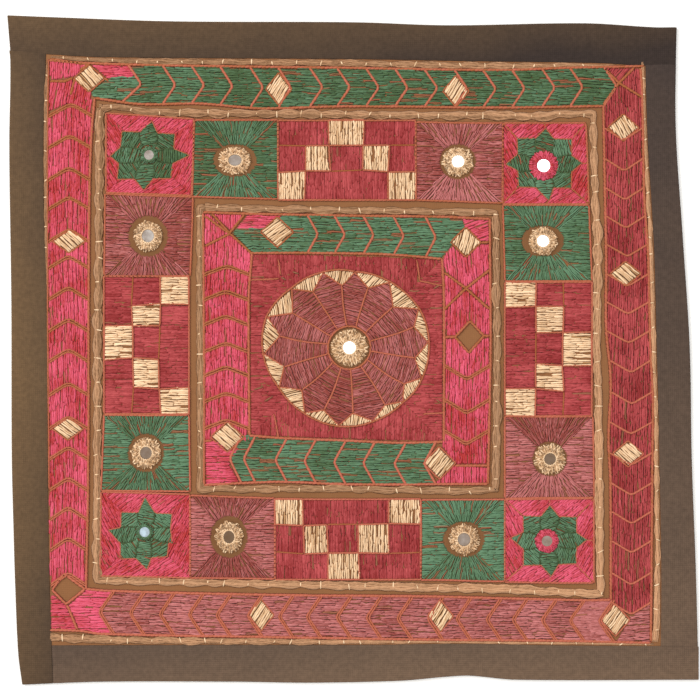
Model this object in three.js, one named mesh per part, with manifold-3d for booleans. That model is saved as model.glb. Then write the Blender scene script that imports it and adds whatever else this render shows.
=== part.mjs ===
/* Mirror-work table square: a ground cloth covered in raised satin fields, four cotton border strips,
   couched cords round its three frames and round mirrors, each held by a stitched ring.
   Millimetres. +X is to the right and +Y up on the face, +Z comes out of it, and the underside is z = 0. */
import * as THREE from "three";
import { mergeVertices } from "three/addons/utils/BufferGeometryUtils.js";
import Module from "manifold-3d";

// Driving sizes.
const GROUND = 1.2; // thickness of the ground cloth with its stitching on the back
const SATIN = 2.0; // top of a satin field
const LOZENGE = 2.3; // top of an ivory lozenge or tile
const BORDER = 1.8; // top of a border strip, two layers of folded cotton
const GAP = 0.3; // clear distance between pieces
const INSET = 0.45; // a field ends this far inside its frame line, where the outline stitches run
const SLOPE = 0.5; // a field's top is this much smaller all round
const CORD_HEIGHT = 1.3;
const COUCHING = 14.2; // distance between the stitches that hold a cord down

// A line of the layout, as rows of along, offset. Its side says if it runs along x (top and bottom) or y.
const LINES = {
  edge_top: [[-207.6, 201], [-178.2, 199.8], [-109.2, 197.4], [1.2, 196.8], [56.4, 195], [139.2, 196.2],
    [180.6, 193.8], [194.4, 193.8]],
  edge_right: [[-198, 207.6], [-129.6, 205.8], [-63.6, 203.4], [2.4, 202.2], [68.4, 198], [134.4, 193.8],
    [193.8, 194.4]],
  edge_bottom: [[-198.6, -201], [-150.6, -199.2], [-67.8, -199.2], [-26.4, -199.8], [28.8, -198.6],
    [56.4, -196.2], [70.2, -195.6], [97.8, -198], [207.6, -198]],
  edge_left: [[-201, -198.6], [-182.4, -201], [-142.8, -202.8], [-103.2, -204], [-63.6, -204.9], [30, -205.2],
    [121.2, -206.4], [174, -205.8], [187.2, -207.4], [201, -207.6]],
  seam_top: [[-205.8, 179.4], [-183.6, 177.6], [-151.8, 175.8], [-1.8, 174.6], [70.2, 173.4], [148.2, 172.2],
    [174.6, 170.7], [193.8, 171]],
  seam_right: [[-178.2, 184.8], [-132, 185.1], [-72, 184], [-30, 183.2], [6, 182.2], [54, 181], [87, 179.3],
    [126, 176.9], [171, 175.5]],
  seam_bottom: [[-181.2, -177.3], [-73.8, -177], [10.2, -177], [62.4, -176.4], [124.2, -177.3], [207.6, -177.9]],
  seam_left: [[-200.4, -180], [-177, -180.9], [-126, -182.4], [-78, -183], [30, -183.3], [72, -185.2],
    [132, -185.8], [178.2, -184.2]],
  outer_a_top: [[-183.6, 174], [-160.8, 172.2], [-91.8, 170.4], [-1.8, 169.2], [88.2, 168], [124.2, 169.2],
    [174.6, 170.4]],
  outer_a_right: [[-175.8, 178.8], [-60, 180], [-30, 180.3], [0, 178.8], [60, 177.4], [90, 175.2], [150, 173.7],
    [170.4, 172.5]],
  outer_a_bottom: [[-182.4, -168], [-163.8, -168.6], [-151.8, -170.4], [-61.8, -172.2], [52.2, -174],
    [124.2, -174.6], [179.4, -175.8]],
  outer_a_left: [[-168, -181.2], [-126, -181.8], [-78, -182.4], [66, -183], [132, -183], [175.2, -182.7]],
  outer_b_top: [[-154.8, 151.2], [-127.8, 147.6], [-91.8, 147.9], [-55.8, 145.2], [-1.8, 146.4], [88.2, 145.5],
    [148.2, 146.4]],
  outer_b_right: [[-150, 154.8], [-78, 154.5], [-54, 153.3], [-18, 154.5], [12, 151.8], [48, 151.8],
    [147, 150.3]],
  outer_b_bottom: [[-160.2, -143.4], [-145.8, -144.6], [-61.8, -147], [52.2, -148.5], [136.2, -150.3],
    [154.8, -150]],
  outer_b_left: [[-144, -160.2], [-78, -159], [90, -157.8], [132, -156.6], [153, -154.8]],
  core_a_top: [[-90, 82.8], [-67.8, 81.9], [-1.8, 80.4], [52.2, 79.8], [82.8, 78.6]],
  core_a_right: [[-80.4, 81], [0, 82.5], [78.6, 82.2]],
  core_a_bottom: [[-89.4, -81], [-43.8, -79.2], [-1.8, -80.7], [81, -80.4]],
  core_a_left: [[-81, -89.4], [0, -89.7], [82.8, -90]],
  core_b_top: [[-63, 58.2], [-13.8, 58.2], [28.2, 57], [53.4, 54.6]],
  core_b_right: [[-54.6, 54.6], [30, 54.6], [57, 53.4]],
  core_b_bottom: [[-62.4, -51.3], [-43.8, -52.8], [-1.8, -54.6], [28.2, -55.8], [53.4, -55.2]],
  core_b_left: [[-51.6, -62.1], [30, -62.7], [58.2, -60.6]],
};

// A band of chevrons between two lines: the tips along it, which way they point, and how far the arms trail.
const BANDS = [
  { name: "outer_top", points: 1, trail: 7.8,
    tips: [-126.9, -106.5, -89.1, -72, -54, -37.2, -18.2, -1.8, 15.6, 33, 50.7, 68.7, 85.8, 103.2, 121.2, 138, 158.4] },
  { name: "outer_right", points: -1, trail: 7.5,
    tips: [126, 107.6, 90.1, 73.2, 56.1, 38.4, 21.6, 4.2, -13.5, -32.4, -50.4, -69, -87, -104.1, -121.8, -140.9, -158.8] },
  { name: "outer_bottom", points: -1, trail: 8.6,
    tips: [-152.1, -133.8, -115.8, -98.4, -81.8, -63, -44.4, -27.6, -9.6, 8.4, 26.8, 45.3, 62.2, 80.3, 95.9, 113.4, 130.2,
      147.9] },
  { name: "outer_left", points: 1, trail: 7.5,
    tips: [147.6, 128.7, 109.4, 91.9, 72.3, 56.4, 37.6, 18.6, 0.4, -19.8, -39.9, -58.2, -76.8, -94.5, -112.8, -133.8] },
  { name: "inner_top", line: "core", points: 1, trail: 6.3, tips: [-21, -4.8, 12.6, 30.6, 49.8] },
  { name: "inner_right", line: "core", points: -1, trail: 7.2, tips: [-17.4, -30.6, -43.8, -57] },
  { name: "inner_bottom", line: "core", points: -1, trail: 7.2, tips: [-74.1, -65.7, -46.8, -29.4, -11.4, 6, 24.6, 42.6] },
  { name: "inner_left", line: "core", points: 1, trail: 5.4, tips: [50.4, 35.4, 20.4, 4.2, -10.2, -25.8, -42] },
];

// Fields of the bands' corners, which have no regular shape. Each row is a closed run of x, y.
const CORNERS = {
  top_left: [[-181.8, 174, -159, 171.6, -166.8, 164.4, -181.8, 162],
    [-181.8, 160.8, -166.8, 163.2, -156.6, 154.8, -158.2, 140.4, -171.6, 147.9, -182.4, 143.4],
    [-156, 171.6, -133.2, 171.3, -127.2, 159.6, -137.4, 150.4, -153.6, 151.2, -155.4, 154.8, -147.6, 163.2]],
  top_right: [[151.8, 169.3, 168.2, 169.3, 159.6, 160.8], [169.4, 169.3, 172.2, 168.6, 173.4, 152.4, 160.8, 160.2],
    [150.8, 147.2, 159.6, 159.2, 173.4, 151.2, 174.3, 133.6, 163.2, 126, 151.6, 133.6]],
  bottom_left: [[-181.2, -146.4, -172.2, -153.6, -165.6, -168, -181.2, -167.7],
    [-160.2, -144, -143.4, -144.9, -152.1, -157.8, -143.4, -170.7, -163.8, -168.6, -171, -153.6]],
  bottom_right: [[166.8, -160.2, 178.6, -151.8, 178.4, -174.9, 158.4, -174.6],
    [139, -150.4, 156, -151, 148.4, -162, 157, -174.6, 138.4, -174.6, 130.2, -162.6]],
  inner_top_left: [[-84, 81.6, -64.8, 81.6, -73.2, 71.4], [-88.8, 79.8, -74.4, 69.6, -88.8, 63],
    [-89.4, 61.8, -73.8, 69.6, -61.2, 58.2, -62.6, 45, -74.4, 50.7, -89.4, 46.8],
    [-63, 81.6, -27.3, 81, -21, 69.4, -27.3, 58.4, -60, 58.4, -72, 70]],
  inner_top_right: [[66, 78.6, 81.6, 77.7, 81.6, 65.4, 76.2, 65.4, 67.2, 73.8],
    [44.3, 80, 63.6, 79.4, 58.2, 64.2, 52.8, 55.2, 44.3, 56, 49.8, 68.2],
    [54, 54.6, 59.4, 62.4, 67.2, 55.8, 76.2, 63.6, 81.6, 63.6, 81.6, 48.6, 67.8, 37.8, 55.2, 47.4],
    [55.2, 45.6, 66.6, 37.2, 55.2, 25.2], [81.6, 46.8, 69, 37.2, 81.6, 25.8]],
  inner_right: [[67.8, 36, 81.6, 24, 81.6, 9.3, 78.6, 9.3, 70.2, 17.4, 61.8, 8.4, 55.8, 8.4, 55.2, 24],
    [55.8, 6.9, 61.8, 6.9, 69.6, -1.2, 78.6, 7.2, 81.6, 7.2, 81.6, -9.6, 69, -16.8, 55.8, -12]],
  inner_bottom_right: [[54.6, -48.6, 67.8, -57.6, 81, -48, 81, -68.4, 61.2, -68.4, 54, -58.2],
    [61.2, -70.5, 80.4, -70.5, 80.4, -80.1, 54.6, -80.4, 54.6, -76.2]],
  inner_bottom_left: [[-88.8, -55.8, -84.6, -55.2, -75.6, -61.2, -74.1, -66, -71.4, -79.2, -88.2, -80.4]],
};

// Lozenges of ivory satin, as rows of x, y, half width, half height.
const LOZENGES = [
  [-158.4, 162.9, 8.7, 7.5], [-44.5, 156.6, 7.2, 9], [61.8, 155.4, 7.2, 8.7], [162.3, 133.5, 8.7, 7.5],
  [163.7, 45.8, 8.7, 6.9], [165.2, -62.2, 8.7, 7.2], [-55.2, -159, 7.2, 9], [52.5, -159.6, 7.2, 9],
  [157.4, -162, 8.1, 9], [-170.4, 65.4, 9.3, 6.6], [-171, -47.1, 9, 6.6], [-45.6, 70.8, 9, 8.4],
  [67.8, 64.8, 8.4, 8.4], [-75.3, -52.2, 9.6, 8.4], [51.9, -67.8, 9, 9],
];

// Squares of the ring: what fills each, its mirror's x, y, and its corners from the top left, clockwise.
const SQUARES = [
  { fill: "star", mirror: [-122.4, 117], corners: [-148.2, 142.2, -95.4, 138.6, -96.6, 92.7, -148.2, 94.5] },
  { fill: "rays", mirror: [-70.2, 114], corners: [-95.1, 138, -45, 138, -45, 90.6, -96.9, 92.1] },
  { fill: "rays", mirror: [63, 113.1], corners: [37.8, 136.8, 90, 136.2, 90, 88.2, 37.8, 90] },
  { fill: "star", mirror: [114.6, 111], corners: [90, 136.2, 139.8, 136.2, 141.6, 87.6, 89.7, 87.6] },
  { fill: "rays", mirror: [-123, 68.4], corners: [-148.8, 93.6, -96, 91.8, -97.8, 44.4, -149.4, 44.4] },
  { fill: "rays", mirror: [-124.2, -61.8], corners: [-149.4, -39, -98.4, -39, -97.8, -84.9, -151.2, -84.3] },
  { fill: "star", mirror: [-125, -109.2], corners: [-151.2, -85.2, -97.8, -86.7, -97.8, -136.8, -151.8, -135.6] },
  { fill: "rays", mirror: [-74.4, -112.2], corners: [-97.8, -87.3, -46.8, -89.1, -46.8, -137.4, -97.8, -136.8] },
  { fill: "rays", mirror: [66.6, -113.7], corners: [40.8, -90, 91.2, -89.7, 91.2, -138.9, 40.8, -138] },
  { fill: "star", mirror: [116.4, -114.6], corners: [91.2, -89.7, 144.6, -89.1, 144.6, -139.8, 91.2, -139.2] },
  { fill: "rays", mirror: [114, 65.4], corners: [90, 87, 141.6, 87, 143.4, 41.4, 91.2, 41.4] },
  { fill: "rays", mirror: [118.2, -65.4], corners: [91.2, -39.9, 144, -39.9, 144.6, -88.5, 91.2, -89.1] },
];

// Blocks of checks: where the columns and the rows end, and the ivory tiles as column, row.
const CHECKS = [
  { columns: [-45, -28.8, -13.8, 6.6, 21.6, 37.8], rows: [138, 123, 107.4, 90],
    ivory: [[2, 0], [1, 1], [3, 1], [0, 2], [4, 2]] },
  { columns: [-149.4, -132.6, -115.8, -98.4], rows: [44.4, 27, 13.8, -5.4, -22.8, -38.4],
    ivory: [[0, 2], [1, 1], [1, 3], [2, 0], [2, 4]] },
  { columns: [91.2, 109.8, 126, 143.4], rows: [40.8, 26.1, 10.2, -9, -24, -39.6],
    ivory: [[2, 2], [1, 1], [1, 3], [0, 0], [0, 4]] },
  { columns: [-46.8, -29.4, -15, 3.6, 21, 40.8], rows: [-89.4, -104.8, -121.6, -137.8],
    ivory: [[0, 0], [4, 0], [1, 1], [3, 1], [2, 2]] },
];

const STAR = { tip: 23, notch: 17, corner: 21, turn: 23 }; // millimetres, and degrees from a tip to a notch
const ROSETTE = { x: -3.6, y: 1.2, rx: 50, ry: 47.5, hub: 13.4, valley: 40, petals: 14, phase: 5 };
// A mirror: half width of its disc, of the eye that shows and of the stitched ring, and of the bare halo.
const MIRRORS = { rays: { disc: 6, eye: 3.8, ring: 9.3, halo: 11.2 }, star: { disc: 4.6, eye: 3, ring: 7.6, halo: 8.2 },
  rosette: { disc: 6, eye: 3.8, ring: 11, halo: 13.4 } };

// Couched cords, as rows of along, offset, half width.
const CORDS = {
  outer_top: [[-178.8, 175.6, 0.7], [-151.8, 174.1, 1], [-115.8, 173.1, 1.6], [-67.8, 172.9, 1.6],
    [-1.8, 172.1, 1.7], [88.2, 170.4, 1.8], [124.2, 170.9, 1], [155.4, 170.9, 0.5]],
  outer_right: [[-172.8, 181.7, 1.8], [-132, 182.8, 1.5], [-72, 182.1, 1.2], [-30, 181.6, 1], [6, 180.2, 1.3],
    [54, 179.1, 1.2], [87, 177.5, 1.1], [126, 175.6, 0.8], [168, 173.9, 0.9]],
  outer_bottom: [[-179.4, -172.5, 2.3], [-163.8, -173.1, 2.3], [-127.8, -174.4, 1.9], [-61.8, -174.6, 1.7],
    [-1.8, -175.2, 1.2], [52.2, -175.2, 0.6], [124.2, -176, 0.7], [178.2, -176.6, 0.6]],
  outer_left: [[48, -183.3, 0.4], [60, -183.6, 0.6], [90, -184, 0.8], [150, -183.9, 0.8], [172.8, -183.3, 0.5]],
  middle_top: [[-152.4, 145.2, 1.9], [-136.8, 145.8, 1.9], [-127.8, 143.1, 2.2], [-1.8, 141.3, 2.2],
    [88.2, 140.7, 2.3], [115.2, 140.1, 2.3], [124.2, 141.6, 2.3], [141, 141.9, 1.9]],
  middle_right: [[-140.4, 148.5, 2.4], [-66, 147.6, 2.5], [-30, 147.3, 2.4], [0, 146.4, 2.4], [66, 146.7, 2.4],
    [90, 145.5, 2.2], [138.6, 144.3, 1.9]],
  middle_bottom: [[-150, -138.3, 2.4], [-91.8, -139.5, 2], [-1.8, -141.6, 2.5], [88.2, -143.4, 2.5],
    [124.2, -145.2, 2.5], [150, -146.4, 2.5]],
  middle_left: [[-135, -153.6, 2.3], [6, -153.3, 2.5], [42, -152.5, 2.3], [142.2, -152.1, 2.5]],
  inner_top: [[-88.8, 85.5, 2], [-43.8, 84.6, 1.9], [28.2, 83.4, 1.9], [82.2, 82.8, 2]],
  inner_right: [[-79.8, 85.8, 2.1], [-24, 86.4, 2.3], [79.2, 85.8, 2.1]],
  inner_bottom: [[-88.2, -83.4, 2], [-1.8, -83.4, 1.9], [64.2, -84.6, 2.2], [87, -83.7, 1.6]],
  inner_left: [[-80.4, -91.5, 2], [-24, -91.5, 2.1], [82.8, -92.1, 2]],
};

// Smooth curve through rows of along, value, straight on past its ends.
function curve(rows, at, column = 1) {
  const slope = (i, j) => (rows[j][column] - rows[i][column]) / (rows[j][0] - rows[i][0]);
  const last = rows.length - 1;
  if (at <= rows[0][0]) return rows[0][column] + (at - rows[0][0]) * slope(0, 1);
  if (at >= rows[last][0]) return rows[last][column] + (at - rows[last][0]) * slope(last - 1, last);
  const i = rows.findIndex((row, k) => k < last && at < rows[k + 1][0]);
  const span = rows[i + 1][0] - rows[i][0];
  const t = (at - rows[i][0]) / span;
  const lead = slope(Math.max(i - 1, 0), i + 1) * span;
  const tail = slope(i, Math.min(i + 2, last)) * span;
  const [a, b] = [rows[i][column], rows[i + 1][column]];
  return a + t * (lead + t * (3 * (b - a) - 2 * lead - tail + t * (2 * (a - b) + lead + tail)));
}

const runsAlongX = (name) => name.endsWith("top") || name.endsWith("bottom");
const place = (name, along, offset) => (runsAlongX(name) ? [along, offset] : [offset, along]);
const onLine = (name, along, aside = 0) => place(name, along, curve(LINES[name], along) + aside);

// Points on a line from one place to another, evenly spread.
function run(name, from, to, aside = 0, step = 16) {
  const count = Math.max(1, Math.round(Math.abs(to - from) / step));
  return Array.from({ length: count + 1 }, (_, i) => onLine(name, from + ((to - from) * i) / count, aside));
}

const pairs = (flat) => Array.from({ length: flat.length / 2 }, (_, i) => [flat[2 * i], flat[2 * i + 1]]);
const polar = (x, y, rx, ry, degrees) => {
  const turn = (degrees * Math.PI) / 180;
  return [x + rx * Math.cos(turn), y + ry * Math.sin(turn)];
};

function areaOf(points) {
  return points.reduce((sum, [x, y], i) => {
    const [nx, ny] = points[(i + 1) % points.length];
    return sum + (x * ny - nx * y) / 2;
  }, 0);
}

// The outline moved inwards by a distance (outwards when below zero), counter-clockwise.
function inset(points, distance) {
  const loop = areaOf(points) > 0 ? points : [...points].reverse();
  return loop.map(([x, y], i) => {
    const [px, py] = loop[(i + loop.length - 1) % loop.length];
    const [nx, ny] = loop[(i + 1) % loop.length];
    const [a, b] = [[x - px, y - py], [nx - x, ny - y]].map(([dx, dy]) => {
      const size = Math.hypot(dx, dy);
      return [-dy / size, dx / size];
    });
    const stretch = distance / Math.max(0.35, 1 + a[0] * b[0] + a[1] * b[1]);
    return [x + (a[0] + b[0]) * stretch, y + (a[1] + b[1]) * stretch];
  });
}

function solid(positions, indices) {
  const geometry = new THREE.BufferGeometry();
  geometry.setAttribute("position", new THREE.Float32BufferAttribute(positions.flat(), 3));
  geometry.setIndex(indices);
  return geometry;
}

// A closed solid over an outline: one ring of points for each level, given as height, inset.
function tower(outline, levels) {
  const rings = levels.map(([z, aside]) => inset(outline, aside).map(([x, y]) => [x, y, z]));
  const count = outline.length;
  const flat = rings[0].map(([x, y]) => new THREE.Vector2(x, y));
  const caps = THREE.ShapeUtils.triangulateShape(flat, []);
  const indices = [];
  const top = (rings.length - 1) * count;
  for (const [a, b, c] of caps) indices.push(c, b, a, top + a, top + b, top + c);
  for (let level = 0; level < rings.length - 1; level++) {
    for (let i = 0; i < count; i++) {
      const [a, b] = [level * count + i, level * count + ((i + 1) % count)];
      indices.push(a, b, b + count, a, b + count, a + count);
    }
  }
  return solid(rings.flat(), indices);
}

// A closed solid through sections that all have the same number of points, with flat ends.
function loft(sections) {
  const count = sections[0].length;
  const indices = [];
  for (let s = 0; s < sections.length - 1; s++) {
    for (let i = 0; i < count; i++) {
      const [a, b] = [s * count + i, s * count + ((i + 1) % count)];
      indices.push(a, b, b + count, a, b + count, a + count);
    }
  }
  const last = (sections.length - 1) * count;
  for (let i = 1; i < count - 1; i++) indices.push(0, i + 1, i, last, last + i, last + i + 1);
  return solid(sections.flat(), indices);
}

const wasm = await Module();
wasm.setup();

function toManifold(geometry) {
  const bare = geometry.clone();
  bare.deleteAttribute("normal");
  bare.deleteAttribute("uv");
  const merged = mergeVertices(bare, 1e-4);
  return new wasm.Manifold(new wasm.Mesh({ numProp: 3, vertProperties: new Float32Array(merged.attributes.position.array),
    triVerts: new Uint32Array(merged.index.array) }));
}

function fromManifold(shape) {
  const mesh = shape.getMesh();
  const geometry = new THREE.BufferGeometry();
  geometry.setAttribute("position", new THREE.Float32BufferAttribute(mesh.vertProperties, 3));
  geometry.setIndex([...mesh.triVerts]);
  return geometry;
}

const group = new THREE.Group();
group.name = "mirror_work_square";

const FINISHES = {
  cloth: { color: 0x9a4038, roughness: 0.9, metalness: 0 },
  cotton: { color: 0x5d4c41, roughness: 0.92, metalness: 0 },
  cord: { color: 0xb68663, roughness: 0.9, metalness: 0 },
  thread: { color: 0xc8a47b, roughness: 0.85, metalness: 0 },
  mirror: { color: 0xd8dcdc, roughness: 0.08, metalness: 1 },
};

function addNode(name, geometry, finish) {
  const flat = geometry.toNonIndexed();
  flat.computeVertexNormals();
  const mesh = new THREE.Mesh(flat, new THREE.MeshStandardMaterial(FINISHES[finish]));
  mesh.name = name;
  group.add(mesh);
}

// Satin fields, each an outline and the height of its top.
const fields = [];
const addField = (outline, height = SATIN, aside = INSET) => fields.push({ outline: inset(outline, aside), height });

function addBands() {
  for (const band of BANDS) {
    const side = band.name.split("_")[1];
    const stem = band.line ?? "outer";
    const [a, b] = [`${stem}_a_${side}`, `${stem}_b_${side}`];
    const lines = band.tips.map((tip) => {
      const back = tip - band.points * band.trail;
      const middle = (curve(LINES[a], tip) + curve(LINES[b], tip)) / 2;
      return [onLine(a, back), place(a, tip, middle), onLine(b, back)];
    });
    for (let i = 0; i < lines.length - 1; i++) {
      const [from, to] = [lines[i], lines[i + 1]];
      addField([from[0], to[0], to[1], to[2], from[2], from[1]]);
    }
  }
  for (const rows of Object.values(CORNERS)) for (const row of rows) addField(pairs(row));
  for (const [x, y, w, h] of LOZENGES) addField([[x - w, y], [x, y - h], [x + w, y], [x, y + h]], LOZENGE);
}

function starOutline([x, y], grow = 0) {
  const points = [];
  for (let quarter = 0; quarter < 4; quarter++) {
    for (const [turn, radius] of [[0, STAR.tip], [STAR.turn, STAR.notch], [45, STAR.corner], [90 - STAR.turn, STAR.notch]]) {
      points.push(polar(x, y, radius + grow, radius + grow, quarter * 90 + turn));
    }
  }
  return points;
}

function addChecks() {
  for (const { columns, rows, ivory } of CHECKS) {
    for (let c = 0; c < columns.length - 1; c++) {
      for (let r = 0; r < rows.length - 1; r++) {
        const tile = [[columns[c], rows[r + 1]], [columns[c + 1], rows[r + 1]], [columns[c + 1], rows[r]], [columns[c], rows[r]]];
        addField(tile, ivory.some(([i, j]) => i === c && j === r) ? LOZENGE : SATIN);
      }
    }
  }
}

// Holes for the bare ground round each mirror, and the gap round the stars.
const cuts = [];
const circle = (x, y, radius, sides = 20) => Array.from({ length: sides }, (_, i) => polar(x, y, radius, radius, (i * 360) / sides));
const cutter = (outline) => tower(outline, [[GROUND, 0], [SATIN + 1, 0]]);

function addSquares() {
  for (const { fill, mirror, corners } of SQUARES) {
    addField(pairs(corners));
    if (fill === "star") cuts.push(cutter(starOutline(mirror, 0.8)));
    else cuts.push(cutter(circle(...mirror, MIRRORS.rays.halo)));
  }
}

function addRosette() {
  const { x, y, rx, ry, hub, valley, petals, phase } = ROSETTE;
  const half = 180 / petals;
  addField([...run("core_b_top", -61, 53.6, 0, 60), ...run("core_b_bottom", 53.6, -61.6, 0, 60)]);
  cuts.push(cutter(Array.from({ length: 42 }, (_, i) => polar(x, y, rx + 0.6, ry + 0.6, (i * 360) / 42))));
  const petal = [];
  for (let i = 0; i < petals; i++) {
    const turn = phase + i * 2 * half;
    const at = (radius, aside) => polar(x, y, radius, (radius * ry) / rx, turn + aside);
    petal.push([at(hub, -half), at(valley, -half), at(rx - 0.6, 0), at(valley, half), at(hub, half)]);
    petal.push([at(valley + 0.6, half), at(rx - 0.2, 2 * half - 2), at(rx - 0.2, half), at(rx - 0.2, 2)].reverse());
  }
  return petal;
}

function buildPanel() {
  const ground = [...run("seam_top", -183.4, 174.4, -GAP), ...run("seam_right", 169.5, -176, -GAP),
    ...run("seam_bottom", 174.4, -180.6, GAP), ...run("seam_left", -176, 176.5, GAP)];
  addBands();
  addChecks();
  addSquares();
  const petals = addRosette();
  const rise = ({ outline, height }) => toManifold(tower(outline, [[GROUND - 0.3, 0], [height, SLOPE]]));
  const raise = (list) => list.slice(1).reduce((shape, field) => shape.add(rise(field)), rise(list[0]));
  let relief = raise(fields);
  for (const cut of cuts) relief = relief.subtract(toManifold(cut));
  const late = [];
  for (const { fill, mirror } of SQUARES) if (fill === "star") late.push({ outline: inset(starOutline(mirror), 0.2), height: SATIN });
  for (const outline of petals) late.push({ outline: inset(outline, 0.35), height: SATIN });
  relief = relief.add(raise(late));
  for (const { fill, mirror } of SQUARES) {
    if (fill === "star") relief = relief.subtract(toManifold(cutter(circle(...mirror, MIRRORS.star.halo))));
  }
  const base = toManifold(tower(ground, [[0, 0], [GROUND, 0]]));
  addNode("panel", fromManifold(base.add(relief)), "cloth");
}

function buildBorders() {
  const levels = [[0, 0.35], [0.6, 0], [1.3, 0.05], [BORDER, 0.6]];
  const strips = {
    top: [...run("edge_top", -207.6, 194.4), ...run("seam_top", 193.8, -205.8)],
    left: [...run("edge_left", -201, 171), ...run("seam_top", -206.1, -185, -GAP, 11), ...run("seam_left", 172, -200.2)],
    bottom: [...run("edge_bottom", -179.6, 207.6), ...run("seam_bottom", 207.6, -180.4)],
    right: [...run("edge_right", -177.6, 162), ...run("seam_top", 193.7, 175.9, -GAP, 9), ...run("seam_right", 162, -177)],
  };
  for (const [name, outline] of Object.entries(strips)) addNode(`border_${name}`, tower(inset(outline, 0), levels), "cotton");
}

// A cord swells between the stitches that hold it down.
function buildCords() {
  for (const [name, rows] of Object.entries(CORDS)) {
    const [from, to] = [rows[0][0], rows[rows.length - 1][0]];
    const count = Math.max(2, Math.round((to - from) / COUCHING)) * 2;
    const foot = GROUND + GAP;
    const sections = Array.from({ length: count + 1 }, (_, i) => {
      const along = from + ((to - from) * i) / count;
      const swell = i % 2 ? 1.06 : 0.82;
      const half = curve(rows, along, 2) * swell;
      const offset = curve(rows, along) + 0.15 * Math.sin(i * 2.3);
      const rise = CORD_HEIGHT * Math.min(1, half / 1.6) * swell;
      const row = [[-half, 0], [half, 0], [half * 0.7, rise * 0.75], [0, rise], [-half * 0.7, rise * 0.75]];
      const points = row.map(([aside, up]) => [...place(name, along, offset + aside), foot + up]);
      return runsAlongX(name) ? points : points.reverse();
    });
    addNode(`cord_${name}`, loft(sections), "cord");
  }
}

// A disc of mirror glass, and the ring of stitches that laps over its rim.
function buildMirrors() {
  const places = SQUARES.map(({ fill, mirror }) => ({ fill, mirror }));
  places.push({ fill: "rosette", mirror: [-2.2, 1.4] });
  places.forEach(({ fill, mirror: [x, y] }, index) => {
    const { disc, eye, ring } = MIRRORS[fill];
    const foot = GROUND + GAP;
    const glass = tower(circle(x, y, disc), [[foot, 0], [foot + 0.8, 0.08]]);
    const sides = 20;
    const profile = [[eye, foot + 1.1], [disc + GAP, foot + 1.1], [disc + GAP, foot], [ring, foot], [disc + 0.6, foot + 1.6],
      [eye + 0.3, foot + 1.55]];
    const sections = Array.from({ length: sides }, (_, i) => {
      const lobe = i % 2 ? 0.94 : 1;
      return profile.map(([radius, z], k) => [...polar(x, y, k === 3 ? radius * lobe : radius, k === 3 ? radius * lobe : radius,
        (i * 360) / sides), z]);
    });
    const indices = [];
    for (let s = 0; s < sides; s++) {
      for (let i = 0; i < profile.length; i++) {
        const [a, b] = [s * profile.length + i, s * profile.length + ((i + 1) % profile.length)];
        const [c, d] = [((s + 1) % sides) * profile.length + ((i + 1) % profile.length), ((s + 1) % sides) * profile.length + i];
        indices.push(a, c, b, a, d, c);
      }
    }
    const label = String(index + 1).padStart(2, "0");
    addNode(`mirror_${label}`, glass, "mirror");
    addNode(`ring_${label}`, solid(sections.flat(), indices), "thread");
  });
}

buildPanel();
buildBorders();
buildCords();
buildMirrors();

export default group;
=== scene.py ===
"""Looks of a mirror-work table square.

A brown ground cloth is filled with floss, edged with four strips of dark cotton, and set with couched cords
and thirteen small round mirrors. Lengths in the tables are millimetres, +X to the right and +Y up on the
face, as in the part's source.
"""

import logging
import math
from collections.abc import Callable
from dataclasses import dataclass, field
from enum import Enum
from functools import partial

import bpy
import numpy as np
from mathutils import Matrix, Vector


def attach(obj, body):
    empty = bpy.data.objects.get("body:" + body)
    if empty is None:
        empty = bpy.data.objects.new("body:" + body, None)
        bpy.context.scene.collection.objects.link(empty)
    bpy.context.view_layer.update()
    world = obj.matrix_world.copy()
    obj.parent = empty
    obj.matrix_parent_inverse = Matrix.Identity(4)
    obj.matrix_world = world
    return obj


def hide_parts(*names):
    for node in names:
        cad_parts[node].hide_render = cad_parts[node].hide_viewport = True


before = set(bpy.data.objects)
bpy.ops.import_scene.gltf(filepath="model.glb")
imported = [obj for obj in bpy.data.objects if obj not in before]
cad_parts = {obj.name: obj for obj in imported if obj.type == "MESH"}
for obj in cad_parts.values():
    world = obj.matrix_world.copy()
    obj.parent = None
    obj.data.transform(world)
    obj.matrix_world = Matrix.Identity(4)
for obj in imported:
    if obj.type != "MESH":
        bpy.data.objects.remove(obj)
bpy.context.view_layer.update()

Point = tuple[float, float]
Run = list[Point]
LOG = logging.getLogger("mirror_work_square")
MM = 0.001  # metres in a millimetre
TUCK = 0.6  # how far the cloths reach in under the strips' seams
GROUND_TOP = 1.2  # height of the ground cloth's face
BORDER_TOP = 1.8  # height of the strips' face
UNEVEN = 0.22  # how far a run of floss strays from its even place, as a share of the spacing
SHORTEST_RUN = 0.8  # a shorter run is left out of a field
LONGEST_RUN = 11.0  # a longer run is worked in two or more
LOOKS = ("crown", "tone", "stray")  # the attributes of a skein's piece

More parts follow.
